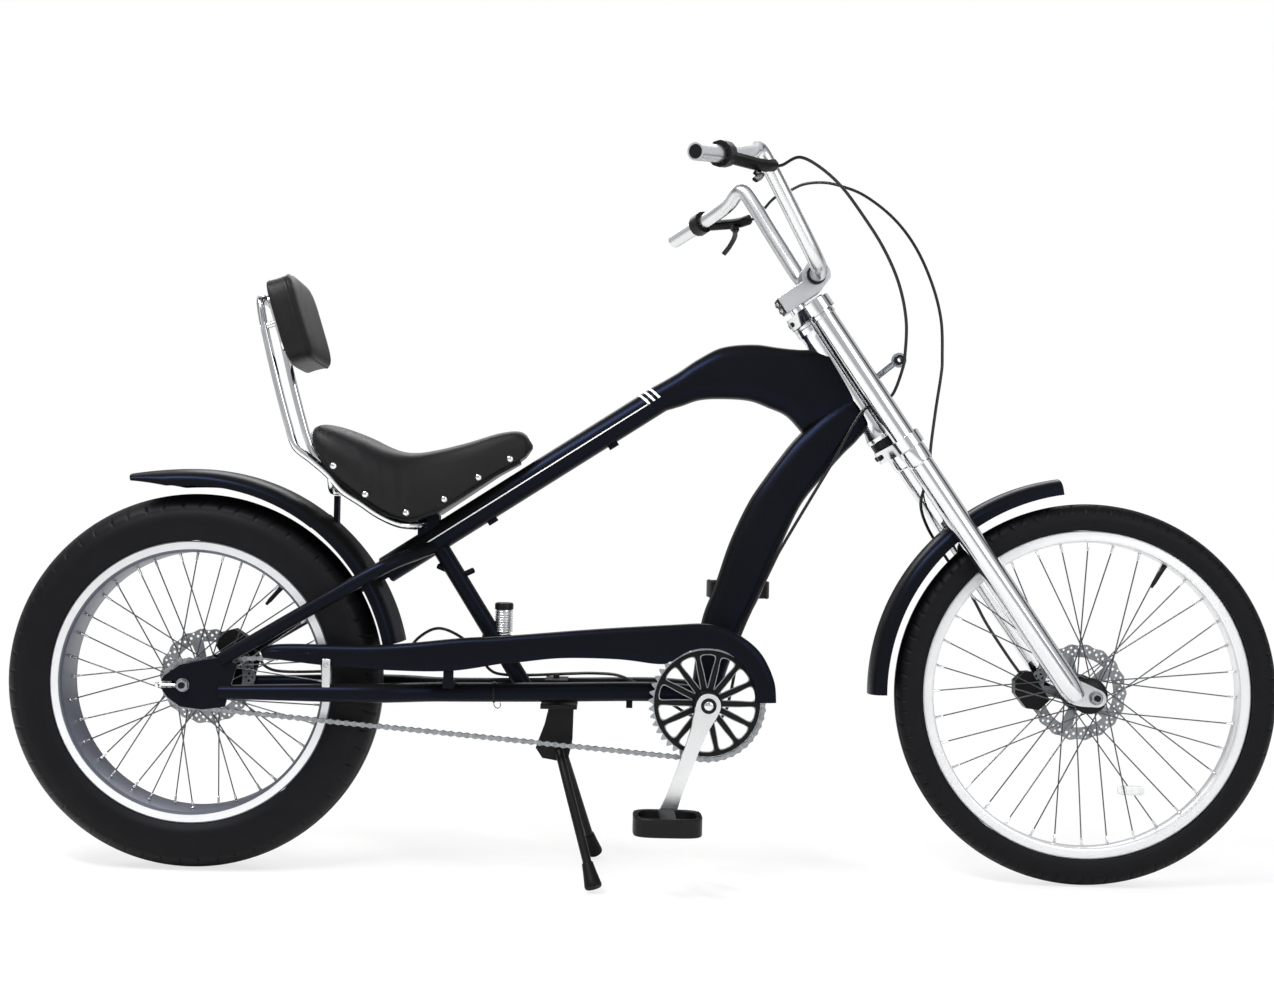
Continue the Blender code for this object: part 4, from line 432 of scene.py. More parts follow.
floorMesh = bpy.data.meshes.new("floor")
floorMesh.from_pydata([(-30, -30, 0), (30, -30, 0), (30, 30, 0), (-30, 30, 0)], [], [(0, 1, 2, 3)])
floor = bpy.data.objects.new("floor", floorMesh)
floor.location.z = min(cadCorners[0].z, 0) - 0.0005
bpy.context.scene.collection.objects.link(floor)
floorLook = bpy.data.materials.new("pale paper floor")
floorLook.use_nodes = True
floorTree = floorLook.node_tree
floorTree.nodes.clear()
floorRays = addNode(floorTree, "ShaderNodeLightPath")
paper = addNode(floorTree, "ShaderNodeBsdfDiffuse", {"Color": linearColour(studio["floorColour"])})
paperGlow = addNode(floorTree, "ShaderNodeEmission", {"Color": (1, 1, 1, 1), "Strength": 1.0})
# away from the bicycle the floor turns plain white, so that no horizon shows
floorWay = addNode(floorTree, "ShaderNodeTexCoord").outputs["Object"]
fromMiddle = addNode(floorTree, "ShaderNodeVectorMath", {0: floorWay, 1: (0.72, 0.0, 0.0)},
                     operation="DISTANCE")
fade = addNode(floorTree, "ShaderNodeMapRange", {"Value": fromMiddle.outputs["Value"], "From Min": 0.9,
                                                 "From Max": 1.9, "To Min": studio["floorLift"],
                                                 "To Max": 1.0}, interpolation_type="SMOOTHSTEP")
lift = addNode(floorTree, "ShaderNodeMath", {0: floorRays.outputs["Is Camera Ray"], 1: fade.outputs[0]},
               operation="MULTIPLY")
mixed = addNode(floorTree, "ShaderNodeMixShader", {0: lift.outputs[0], 1: paper.outputs[0],
                                                   2: paperGlow.outputs[0]})
addNode(floorTree, "ShaderNodeOutputMaterial", {"Surface": mixed.outputs[0]})
floorMesh.materials.append(floorLook)

for name, box in lamps.items():  # soft boxes that point at the bicycle's middle
    light = bpy.data.lights.new(name, "AREA")
    light.shape = "RECTANGLE"
    light.size, light.size_y = box["size"]
    light.energy = box["watts"]
    lampObject = bpy.data.objects.new(name, light)
    lampObject.location = box["place"]
    lampObject.rotation_mode = "QUATERNION"
    lampObject.rotation_quaternion = (Vector(studio["aim"]) - Vector(box["place"])).to_track_quat("-Z", "Y")
    bpy.context.scene.collection.objects.link(lampObject)

# wheels
print("lacing the wheels")
wheels = {"rear": {"axle": vec(0, 0, 0.300), "radius": 0.300, "half": 0.053, "rim": 0.2247, "rimHalf": 0.042,
                   "flangeY": 0.050, "hubHalf": 0.0846, "spread": 0.012, "rotorY": 0.0675, "slashes": 30,
                   "ridgeDeg": 62, "valve": (130, 449)},
          "front": {"axle": vec(1.432, 0, 0.307), "radius": 0.307, "half": 0.027, "rim": 0.2638,
                    "rimHalf": 0.015, "flangeY": 0.028, "hubHalf": 0.0496, "spread": 0.003, "rotorY": 0.0345,
                    "slashes": 46, "ridgeDeg": 72, "valve": (1550, 505)}}
tread = {"steps": 1200, "columns": 58, "depth": 0.0020, "slashMm": 1.5, "centreDeg": 15,
         "ridgeHeight": 0.0011}
disc = {"radius": 0.0777, "wave": 0.0014, "waves": 18, "arms": 5, "half": 0.0009}
spoke = {"perSide": 18, "wireRadius": 0.0011, "flangeRadius": 0.029, "turnDeg": 60,
         "nippleLength": 0.013}


def tyreGrid(w):
    # a fat oval section turned round the axle; grooves are cut where the shoulder slashes and the rings run
    turn = np.linspace(0, 2 * np.pi, tread["steps"], endpoint=False)[:, None]
    swing = np.radians(np.linspace(-127, 127, tread["columns"]))[None, :]
    middle = w["rim"] + 0.42 * (w["radius"] - w["rim"])
    rise = np.cos(swing)
    radius = middle + np.where(rise > 0, (w["radius"] - middle) * rise, (middle - w["rim"]) / 0.602 * rise)
    width = w["half"] * np.sign(swing) * np.abs(np.sin(swing)) ** 0.9
    side = np.degrees(np.abs(swing))
    ridge = w["ridgeDeg"]
    cellMm = 2000 * np.pi * w["radius"] / w["slashes"]
    cell = (turn * w["slashes"] / (2 * np.pi) + 0.5 * (swing > 0)) % 1.0
    longSlash = np.exp(-((cell - 0.25 - 0.0030 * (side - 25)) * cellMm / tread["slashMm"]) ** 2)
    longSlash = longSlash * np.clip((side - 22) / 5, 0, 1) * np.clip((ridge - side) / 3, 0, 1)
    shortSlash = np.exp(-((cell - 0.80) * cellMm / tread["slashMm"]) ** 2)
    shortSlash = shortSlash * np.clip((side - 40) / 5, 0, 1) * np.clip((ridge - side) / 3, 0, 1)
    rings = np.exp(-((side - tread["centreDeg"]) / 1.7) ** 2)
    step = np.clip((side - ridge + 1.5) / 3, 0, 1)
    bead = np.exp(-((side - 112) / 2.5) ** 2)
    depth = tread["depth"] * np.maximum(np.maximum(longSlash, shortSlash), 0.8 * rings)
    depth = depth + tread["ridgeHeight"] * step - 0.0008 * bead
    radius = radius - depth * rise
    width = width - depth * np.sin(swing)
    out = np.stack([np.cos(turn), np.zeros_like(turn), np.sin(turn)], -1)
    return w["axle"] + out * radius[..., None] + vec(0, 1, 0) * (width + 0 * turn)[..., None]


def rimProfile(w):  # a box section seen from its end: two bright walls with rolled lips and a shallow well
    half, top, well = w["rimHalf"], w["rim"], w["rim"] - 0.0155
    side = [(well - 0.0030, 0.0), (well - 0.0030, half - 0.007), (well - 0.0022, half - 0.004),
            (well - 0.0004, half - 0.0010), (well + 0.0015, half), (top - 0.0020, half),
            (top - 0.0006, half - 0.0004), (top, half - 0.0013), (top - 0.0006, half - 0.0022),
            (top - 0.0020, half - 0.0025), (well, half - 0.0025), (well, 0.0)]
    return side + [(r, -y) for r, y in reversed(side[1:-1])]


def rods(starts, ends, radii, sides):
    # many short bars at once: a ring of corners at each given place along every bar
    way = unit(ends - starts)
    first = unit(np.cross(way, vec(0.3, 1, 0.2)))
    second = np.cross(way, first)
    angle = np.arange(sides) * 2 * np.pi / sides
    ring = first[:, None] * np.cos(angle)[None, :, None] + second[:, None] * np.sin(angle)[None, :, None]
    stations = []
    for share, radius in radii:
        stations.append((starts + (ends - starts) * share)[:, None] + ring * radius)
    return list(np.stack(stations, 1))


for prefix, w in wheels.items():
    wheelBody = prefix + "_wheel"
    surface(prefix + "Tyre", tyreGrid(w), tyreRubber, wheelBody, prefix + "_tyre", loop=True,
            crease=50)
    rim = turned(rimProfile(w), w["axle"], (0, 1, 0), 160)
    rimLook = barrelAlloy if prefix == "rear" else rimAlloy
    surface(prefix + "Rim", rim, rimLook, wheelBody, prefix + "_rim", loop=True, crease=30)
    faceRing = [(w["rim"] - 0.0140, w["rimHalf"] - 0.0010), (w["rim"] - 0.0135, w["rimHalf"] + 0.0004),
                (w["rim"] - 0.0022, w["rimHalf"] + 0.0004), (w["rim"] - 0.0016, w["rimHalf"] - 0.0010)]
    bright = [turned([(r, y * s) for r, y in faceRing], w["axle"], (0, 1, 0), 160) for s in (1, -1)]
    surface(prefix + "RimFaces", bright, rimAlloy, wheelBody, loop=True, crease=30)

    sign = np.repeat([1.0, -1.0], spoke["perSide"])
    k = np.tile(np.arange(spoke["perSide"]), 2)
    angle = 2 * np.pi * (k + 0.5 * (sign < 0)) / spoke["perSide"]
    lean = np.where(k % 2 == 0, 1.0, -1.0)
    farAngle = angle + lean * math.radians(spoke["turnDeg"])
    reach = w["rim"] - 0.0193
    root = spoke["flangeRadius"] - 0.004
    starts = w["axle"] + np.stack([root * np.cos(angle), sign * w["flangeY"] + 0.0014 * lean,
                                   root * np.sin(angle)], 1)
    ends = w["axle"] + np.stack([reach * np.cos(farAngle), sign * w["spread"] + 0.0012 * lean,
                                 reach * np.sin(farAngle)], 1)
    wires = rods(starts, ends, [(0.0, spoke["wireRadius"]), (1.0, spoke["wireRadius"])], 8)
    surface(prefix + "Spokes", wires, spokeWire, wheelBody, crease=60)
    nippleStart = ends + unit(starts - ends) * spoke["nippleLength"]
    nipples = rods(nippleStart, ends, [(0.0, 0.0012), (0.12, 0.0019), (0.8, 0.0019), (0.85, 0.0026),
                                       (1.0, 0.0026)], 8)
    surface(prefix + "Nipples", nipples, polishedAlloy, wheelBody, crease=40)

    flange, half = w["flangeY"], w["hubHalf"]
    hubSide = [(0.0056, half), (0.0100, half), (0.0110, half - 0.001), (0.0110, w["rotorY"] - 0.002),
               (0.0150, w["rotorY"] - 0.0022), (0.0170, flange + 0.0045), (0.0200, flange + 0.0030),
               (0.0280, flange + 0.0024), (0.0290, flange + 0.0012), (0.0290, flange - 0.0012),
               (0.0280, flange - 0.0024), (0.0200, flange - 0.0030), (0.0168, flange - 0.0065),
               (0.0150, flange * 0.55), (0.0140, 0.0)]
    hubProfile = hubSide + [(r, -y) for r, y in reversed(hubSide[:-1])]
    surface(prefix + "Hub", turned(hubProfile, w["axle"], (0, 1, 0), 56), blackAnodised, wheelBody,
            prefix + "_hub", loop=True, crease=40)
    valveAt = vec(w["valve"][0] / 1000, 0, w["valve"][1] / 1000) - w["axle"]
    valveWay = unit(valveAt)
    stem = turned([(0.0008, -0.043), (0.0026, -0.042), (0.0030, -0.036), (0.0036, -0.034), (0.0036, -0.018),
                   (0.0044, 0.0), (0.0010, 0.0006)], w["axle"] + valveWay * (w["rim"] - 0.0178), valveWay,
                  16)
    surface(prefix + "Valve", stem, mouldedNylon, wheelBody, crease=40)

    angle = np.linspace(0, 2 * np.pi, 216, endpoint=False)
    edge = disc["radius"] + disc["wave"] * np.cos(angle * disc["waves"])
    centre = (w["axle"][0], w["axle"][2])
    outline = np.stack([centre[0] + edge * np.cos(angle), centre[1] + edge * np.sin(angle)], 1)
    holes = []
    for ring, count, radius in ((0.0735, 36, 0.0020), (0.0680, 36, 0.0024), (0.0630, 18, 0.0018)):
        holes += [circleAt((centre[0] + ring * math.cos(a), centre[1] + ring * math.sin(a)), radius, 8)
                  for a in (np.arange(count) + (0.5 if ring == 0.0680 else 0.0)) * 2 * np.pi / count]
    for arm in range(disc["arms"]):  # the windows of the light inner spider
        turn = 2 * np.pi * arm / disc["arms"]
        bow = np.linspace(0.40, -0.40, 9)
        inner = np.stack([0.030 * np.cos(turn + bow), 0.030 * np.sin(turn + bow)], 1)
        outer = np.stack([0.0575 * np.cos(turn - bow * 1.15), 0.0575 * np.sin(turn - bow * 1.15)], 1)
        holes.append(np.vstack([inner, outer]) + centre)
    holes.append(circleAt(centre, 0.0116, 24))
    plate(prefix + "Rotor", outline, holes, w["rotorY"] - disc["half"], w["rotorY"] + disc["half"],
          discSteel, wheelBody, prefix + "_rotor", crease=30)
    spiderCap = turned([(0.0113, -0.0012), (0.0240, -0.0012), (0.0250, 0.0002), (0.0250, 0.0016),
                        (0.0240, 0.0026), (0.0113, 0.0026)], w["axle"] + vec(0, w["rotorY"], 0), (0, 1, 0),
                       40)
    surface(prefix + "RotorCarrier", spiderCap, blackAnodised, wheelBody, loop=True)

# the small white reflector clipped between two front spokes
reflectorAt = vec(1.5075, -0.008, 0.1545)
reflectorBox = ovalSection(0.0045, 0.0075, 0.45, 20)
reflectorPath = reflectorAt + np.linspace(-0.021, 0.021, 9)[:, None] * vec(1, 0, 0)
reflectorTaper = np.clip(1.0 - np.abs(np.linspace(-1, 1, 9)) ** 6 * 0.35, 0, 1)[:, None, None]
surface("frontReflector", carried(reflectorPath, reflectorBox * reflectorTaper, (0, 1, 0)), milkyPlastic,
        "front_wheel", crease=40)

# each axle's nuts start at nutStart from the middle, on a washer
axleEnds = {"rear": {"body": "frame", "nutStart": 0.0923, "washer": 0.0105},
            "front": {"body": "steering", "nutStart": 0.0621, "washer": 0.0112}}
for prefix, fitting in axleEnds.items():
    middle, far, washer = wheels[prefix]["axle"], fitting["nutStart"], fitting["washer"]
    bar = [(0.0012, -far - 0.0118), (0.0046, -far - 0.0116), (0.0050, -far - 0.0110), (0.0050, far + 0.0110),
           (0.0046, far + 0.0116), (0.0012, far + 0.0118)]
    disk = [(0.0052, 0.0), (washer, 0.0), (washer, 0.0014), (0.0090, 0.0014)]
    hexagon = [(0.0052, 0.0014), (0.0092, 0.0014), (0.0096, 0.0020), (0.0096, 0.0068), (0.0084, 0.0078),
               (0.0052, 0.0078)]
    nuts = [turned([(r, (far + y) * s) for r, y in profile], middle, (0, 1, 0), sides)
            for s in (1, -1) for profile, sides in ((disk, 32), (hexagon, 6))]
    surface(prefix + "Axle", turned(bar, middle, (0, 1, 0), 24), blackSteel, fitting["body"],
            prefix + "_axle")
    surface(prefix + "AxleNuts", nuts, zincSteel, fitting["body"], loop=True, crease=30)

# steered parts
print("building the fork and the bars")
headAngle = math.radians(55.2)
upFork = vec(-math.cos(headAngle), 0, math.sin(headAngle))
forwardFork = vec(math.sin(headAngle), 0, math.cos(headAngle))
fork = {"legRadius": 0.019, "legY": 0.056, "offset": 0.017, "axleForward": 0.041, "legFoot": 0.014,
        "legTop": 0.7702, "lowerCrown": (0.4905, 0.5105), "upperCrown": (0.7472, 0.7672), "headFoot": 0.5246,
        "stemFoot": 0.7772, "stemTop": 0.8052, "clampForward": 0.050}


def steer(up, forward, y=0.0):  # a place on the fork: up its axis from the axle, and ahead of it
    return wheels["front"]["axle"] + upFork * up + forwardFork * (forward - fork["axleForward"]) + vec(0, y,
                                                                                                       0)


def toFork(a, b, depth):  # a flat outline (ahead, up) as places on the fork
    return steer(b[:, None], a[:, None], depth)


def forkLeg(y):  # a chrome tube with rolled beads at the crowns and a tapered foot
    foot = steer(fork["legFoot"], fork["offset"], y)
    length = fork["legTop"] - fork["legFoot"]
    r = fork["legRadius"]
    low = fork["lowerCrown"][0] - fork["legFoot"]
    high = fork["upperCrown"][0] - fork["legFoot"]
    profile = [(0.004, 0.0), (r - 0.006, 0.0), (r - 0.0045, 0.002), (r - 0.0025, 0.010), (r - 0.0006, 0.020),
               (r, 0.030), (r, low - 0.030), (r + 0.0016, low - 0.028), (r + 0.0022, low - 0.024),
               (r + 0.0022, low - 0.006), (r + 0.0016, low - 0.002), (r, low), (r, high - 0.010),
               (r + 0.0016, high - 0.009), (r + 0.0016, high - 0.003), (r, high - 0.002),
               (r, length - 0.004), (r - 0.0010, length - 0.0014), (r - 0.0030, length), (0.010, length),
               (0.009, length - 0.0022), (0.002, length - 0.0022)]
    return turned(profile, foot, upFork, 48)


for word, y in (("left", fork["legY"]), ("right", -fork["legY"])):
    surface("forkLeg." + word, forkLeg(y), chromePlate, "steering", "fork_leg_" + word, crease=28)
    lugOutline = smoothCurve([(0.0565, -0.0015), (0.0520, -0.0135), (0.0410, -0.0160), (0.0300, -0.0100),
                              (0.0060, 0.0110), (0.0020, 0.0360), (0.0120, 0.0560), (0.0320, 0.0400),
                              (0.0500, 0.0125)], 60, True)
    plate("forkFoot." + word, lugOutline, [circleAt((fork["axleForward"], 0), 0.0054, 24)], y - 0.0057,
          y + 0.0057, chromePlate, "steering", toWorld=toFork, bevel=0.0014)

headProfile = [(0.0172, 0.0), (0.0262, 0.0), (0.0270, 0.0008), (0.0270, 0.0070), (0.0262, 0.0085),
               (0.0230, 0.020), (0.0220, 0.028), (0.0220, 0.196), (0.0226, 0.2025), (0.0246, 0.2060),
               (0.0250, 0.2068), (0.0250, 0.2152), (0.0242, 0.2160), (0.0172, 0.2160)]
surface("headTube", turned(headProfile, steer(fork["headFoot"], 0), upFork, 48), chromePlate, "frame",
        "head_tube", loop=True, crease=25)
dressed("headsetLower", "headset_lower", blackSteel, "frame", 0.0010)
dressed("headsetUpper", "headset_upper", polishedAlloy, "frame", 0.0010)
dressed("crownLower", "lower_crown", chromePlate, "steering", 0.0022)
dressed("crownUpper", "upper_crown", chromePlate, "steering", 0.0022)
# pinch bolts behind the crowns, between the legs
for k, (low, high) in enumerate((fork["lowerCrown"], fork["upperCrown"])):
    heads = [turnedRod(0.0042, steer((low + high) / 2, -0.0285 if k == 0 else -0.0262, y),
                       steer((low + high) / 2, -0.0215, y), 16, 0.0006) for y in (-0.012, 0.012)]
    surface("crownBolts%d" % k, heads, blackSteel, "steering", crease=30)

barHalf = mm([(970, 985, 97), (930, 1052, 121), (890, 1120, 139), (876, 1139, 147), (866, 1138, 158),
              (853, 1124, 190), (821, 1108, 245), (768, 1088, 342)])
barCentre = steer(fork["stemTop"] - 0.003, fork["clampForward"])
barMiddle = [barCentre + vec(0, y, 0) for y in (-0.062, -0.030, 0.030, 0.062)]
barPath = smoothCurve(np.vstack([barHalf[::-1] * vec(1, -1, 1), barMiddle, barHalf]), 220)
barTube = carried(barPath, ovalSection(0.0127, 0.0127, 1.0, 28), forwardFork)


def hollowEnd(tube, depth, wall):  # folds a tube's end inwards, so that its bore shows
    rows = []
    for end, inner in ((0, 1), (-1, -2)):
        centre = tube[end].mean(0)
        inward = unit(tube[inner].mean(0) - centre) * depth
        narrow = centre + (tube[end] - centre) * wall
        rows.append([narrow + inward, narrow])
    return np.vstack([rows[0][0][None], rows[0][1][None], tube, rows[1][1][None], rows[1][0][None]])


surface("handlebar", hollowEnd(barTube, 0.05, 0.80), polishedAlloy, "steering", "handlebar",
        crease=50)
bores = [turned([(0.001, 0.0), (0.0100, 0.0), (0.0100, 0.0004), (0.001, 0.0004)],
                barPath[end] + unit(barPath[inner] - barPath[end]) * 0.0012, barPath[end] - barPath[inner],
                24) for end, inner in ((0, 2), (-1, -3))]
surface("barBores", bores, mouldedNylon, "steering")
# the stem from the side: a flat block whose front is an arc round the bar
stemArc = circleAt((fork["clampForward"], fork["stemTop"] - 0.003), 0.0232, 48)[np.arange(-6, 21)]
stemOutline = np.vstack([[(-0.0220, fork["stemFoot"]), (0.0430, fork["stemFoot"])], stemArc,
                         [(0.0262, fork["stemTop"]), (-0.0220, fork["stemTop"])]])
barHole = circleAt((fork["clampForward"], fork["stemTop"] - 0.003), 0.0129, 32)
plate("stem", stemOutline, [barHole], -0.026, 0.026, blastedAlloy, "steering", "stem",
      toWorld=toFork, bevel=0.0028)
# a black face plate at the stem's back with two bolts, and black bands where the bar is clamped
backPlate = np.array([(-0.0238, -0.0185), (-0.0238, 0.0185), (-0.0218, 0.0195), (-0.0218, -0.0195)])
faceRows = np.stack([[steer(level, f, y) for f, y in backPlate]
                     for level in (fork["stemFoot"] + 0.001, fork["stemTop"] - 0.001)])
surface("stemFace", faceRows, mouldedNylon, "steering", bevel=0.0004)
boltSpots = [(fork["stemFoot"] + 0.008, -0.011), (fork["stemTop"] - 0.008, -0.011),
             (fork["stemFoot"] + 0.008, 0.011), (fork["stemTop"] - 0.008, 0.011)]
surface("stemBolts", [turnedRod(0.0034, steer(u, -0.0268, y), steer(u, -0.0236, y), 16, 0.0005) for u,
                      y in boltSpots], chromePlate, "steering", crease=30)
clampBands = [turned([(0.0128, -0.003), (0.0150, -0.003), (0.0156, -0.0015), (0.0156, 0.0015),
                      (0.0150, 0.003), (0.0128, 0.003)], barCentre + vec(0, s * 0.0292, 0), (0, 1, 0), 32)
              for s in (1, -1)]
surface("barClampRings", clampBands, mouldedNylon, "steering", loop=True, crease=30)

for word, s in (("left", 1), ("right", -1)):
    dressed("brakePerch." + word, "brake_perch_" + word, mouldedNylon, "steering", 0.0012,
            45)
    dressed("brakeLever." + word, "brake_lever_" + word, blackAnodised, "lever_" + word,
            0.0008, 45)
dressed("lampBracket", "lamp_bracket", zincSteel, "steering", 0.0006)
lampBush = [(0.0040, -0.0090), (0.0072, -0.0090), (0.0078, -0.0082), (0.0078, 0.0082), (0.0072, 0.0090),
            (0.0040, 0.0090)]
surface("lampBush", turned(lampBush, steer(0.615, 0.090), (0, 1, 0), 28), mouldedNylon, "steering",
        loop=True)

# fenders
print("rolling the fenders")
fenders = {"rear_fender": {"centre": vec(0, 0, 0.300), "radius": 0.340, "half": 0.063, "skirt": 0.028,
                           "start": 12, "end": 107, "seam": 52.8, "tail": 0.006, "body": "frame",
                           "rows": 110}, "front_fender":
           {"centre": vec(1.432, 0, 0.307), "radius": 0.350, "half": 0.034, "skirt": 0.026, "start": 98.6,
            "end": 181, "seam": 0, "tail": 0.0, "body": "steering", "rows": 90}, }


def fenderGrid(f):
    # an arched sheet 2 mm thick: the section is an oval arch, outside then back along the inside
    # ahead of the seam the sheet lies 1 mm proud, over the part behind it
    seam = (f["seam"] - f["start"]) / (f["end"] - f["start"])
    share = np.unique(np.clip(np.r_[np.linspace(0, 1, f["rows"]), seam - 0.0004, seam + 0.0004], 0, 1))
    proud = 0.0011 * (share < seam)[:, None]
    turn = np.radians(f["start"] + (f["end"] - f["start"]) * share)
    flick = f["tail"] * np.clip((share - 0.82) / 0.18, 0, 1) ** 2
    shrink = 1.0 - (0.5 * np.clip((share - 0.9) / 0.1, 0, 1) if f["tail"] else 0 * share)
    sweep = np.radians(np.linspace(-90, 90, 31))
    across = np.sign(sweep) * np.abs(np.sin(sweep)) ** 0.85
    drop = 1.0 - np.abs(np.cos(sweep)) ** 0.62
    rolled = np.array([0.0020 + 0.0009 * max(0.0, 1 - (j if j < 15 else 30 - j) / 1.6) for j in range(31)])
    outer = np.stack([f["half"] * across, -f["skirt"] * drop], 1)
    inner = np.stack([(f["half"] - rolled) * across, -f["skirt"] * drop - rolled * np.cos(sweep)], 1)[::-1]
    inner[:, 1] = np.maximum(inner[:, 1], -f["skirt"])
    section = np.vstack([outer, inner])
    out = np.stack([np.cos(turn), 0 * turn, np.sin(turn)], 1)
    radial = f["radius"] + flick[:, None] + section[None, :, 1] * shrink[:, None] + proud
    across = section[None, :, 0] * (1 + proud / f["half"])
    return f["centre"] + out[:, None] * radial[..., None] + vec(0, 1, 0) * across[..., None]


for node, f in fenders.items():
    name = "rearFender" if node.startswith("rear") else "frontFender"
    surface(name, fenderGrid(f), satinPaint, f["body"], node, crease=50)
# the strap, tab and brace that carry the fenders
strapPath = np.array([(0.2195, 0, 0.553), (0.2195, 0, 0.6015)])
surface("rearFenderStrap", carried(strapPath, ovalSection(0.012, 0.004, 0.3, 16), (0, 1, 0)), satinPaint,
        "frame", bevel=0.0006)
tabWay = vec(math.cos(math.radians(31.3)), 0, math.sin(math.radians(31.3)))
tabPath = vec(0, 0, 0.300) + tabWay * np.array([[0.3385], [0.356]])
surface("rearFenderTab", carried(tabPath, ovalSection(0.010, 0.012, 0.3, 16), (0, 1, 0)), satinPaint,
        "frame", bevel=0.0006)
bracePath = np.array([steer(0.351, fork["offset"], y) for y in (-0.040, 0.0, 0.040)])
surface("frontFenderBrace", carried(bracePath, ovalSection(0.010, 0.004, 0.4, 20), forwardFork), satinPaint,
        "steering", crease=40)
braceBolts = [turnedRod(0.0045, steer(0.3555, fork["offset"], y), steer(0.3585, fork["offset"], y), 16,
                        0.0006) for y in (-0.030, 0.030)]
surface("fenderBolts", braceBolts, blackSteel, "steering", crease=30)

# frame
print("welding the frame")
slope = math.radians(33.3)
bracketAt = vec(0.819, 0, 0.286)
topTube = {"radius": 0.0222, "heightAtAxle": 0.2856}


def onTopTube(x, off=0.0, y=0.0):  # a place on the top tube's centre line, or off it towards its top
    z = topTube["heightAtAxle"] + x * math.tan(slope)
    return vec(x - off * math.sin(slope), y, z + off * math.cos(slope))


surface("topTube", turnedRod(topTube["radius"], onTopTube(0.300), onTopTube(0.742), 48, 0.002), satinPaint,
        "frame", "top_tube", crease=30)


def spanLoft(pairs, halfWidths, powers, rows, sides=44, tail=None):
    # each row's section is an oval between an upper and a lower edge point of the side view
    # a tail runs on straight to one more pair, so that a corner of the outline stays sharp
    table = np.array([(*a, *b, w, p) for (a, b), w, p in zip(pairs, halfWidths, powers)], float)
    table[:, :4] /= 1000
    path = smoothCurve(table, rows)
    if tail:
        last = np.array([*tail[0], *tail[1]]) / 1000
        share = np.linspace(0, 1, 12)[1:, None]
        path = np.vstack([path, path[-1] + share * (np.r_[last, path[-1, 4:]] - path[-1])])
    a, b = path[:, [0, 1]], path[:, [2, 3]]
    middle, reach = (a + b) / 2, (a - b) / 2
    angle = np.arange(sides)[None, :] * 2 * np.pi / sides
    c, s = np.cos(angle), np.sin(angle)
    across = path[:, 4:5] * np.sign(c) * np.abs(c) ** path[:, 5:6]
    up = np.sign(s) * np.abs(s) ** path[:, 5:6]
    x = middle[:, :1] + reach[:, :1] * up
    z = middle[:, 1:] + reach[:, 1:] * up
    return np.stack([x, across, z], -1)


tubeEnd, tubeFoot = onTopTube(0.7358, 0.0222) * 1000, onTopTube(0.7358, -0.0222) * 1000
gussetPairs = [((tubeEnd[0], tubeEnd[2]), (tubeFoot[0], tubeFoot[2])), ((763, 811), (772, 758)),
               ((796, 834), (800, 768)), ((835, 854), (835, 771)), ((885, 860), (880, 769)),
               ((925, 856), (913, 758)), ((960, 853), (942, 745)), ((985, 854), (967, 719))]
surface("headGusset", spanLoft(gussetPairs, [0.0222, 0.0235, 0.0245, 0.0255] + [0.0265] * 4,
                               [0.97, 0.86, 0.78, 0.73, 0.72, 0.72, 0.72, 0.72], 80,
                               tail=((999, 853), (1051, 760))),
        satinPaint, "frame", "head_gusset", crease=50)
# the down tube runs on beside the gusset up to the head tube, so that a crease shows where they meet
downPairs = [((1038, 779), (1072, 726)), ((1003, 755), (1063, 717)), ((970, 724), (1050, 702)),
             ((950, 702), (1034, 686)), ((932, 678), (1005, 652)), ((912, 650), (972, 610)),
             ((883, 605), (951, 569)), ((854, 540), (925, 507)), ((831, 468), (902, 449)),
             ((811, 409), (874, 393)), ((797, 300), (841, 292))]
surface("downTube", spanLoft(downPairs, [0.0255] + [0.0275] * 4 +
                             [0.027, 0.0265, 0.026, 0.0255, 0.025, 0.024], [0.78] * 11, 110), satinPaint,
        "frame", "down_tube", crease=50)
surface("seatTube", turnedRod(0.014, (0.528, 0, 0.300), (0.372, 0, 0.546), 40, 0.001), satinPaint, "frame",
        "seat_tube", crease=30)
pegEnds = [((0.404, 0, 0.484), (0.383, 0, 0.4925)), ((0.420, 0, 0.476), (0.443, 0, 0.487))]
surface("seatTubePegs", [turnedRod(0.0048, a, b, 18, 0.0016) for a, b in pegEnds], satinPaint, "frame",
        crease=30)
bottomShell = [(0.0090, -0.050), (0.0262, -0.050), (0.0275, -0.0487), (0.0275, 0.0487), (0.0262, 0.050),
               (0.0090, 0.050)]
surface("bottomShell", turned(bottomShell, bracketAt, (0, 1, 0), 48), satinPaint, "frame",
        "bb_shell", loop=True)

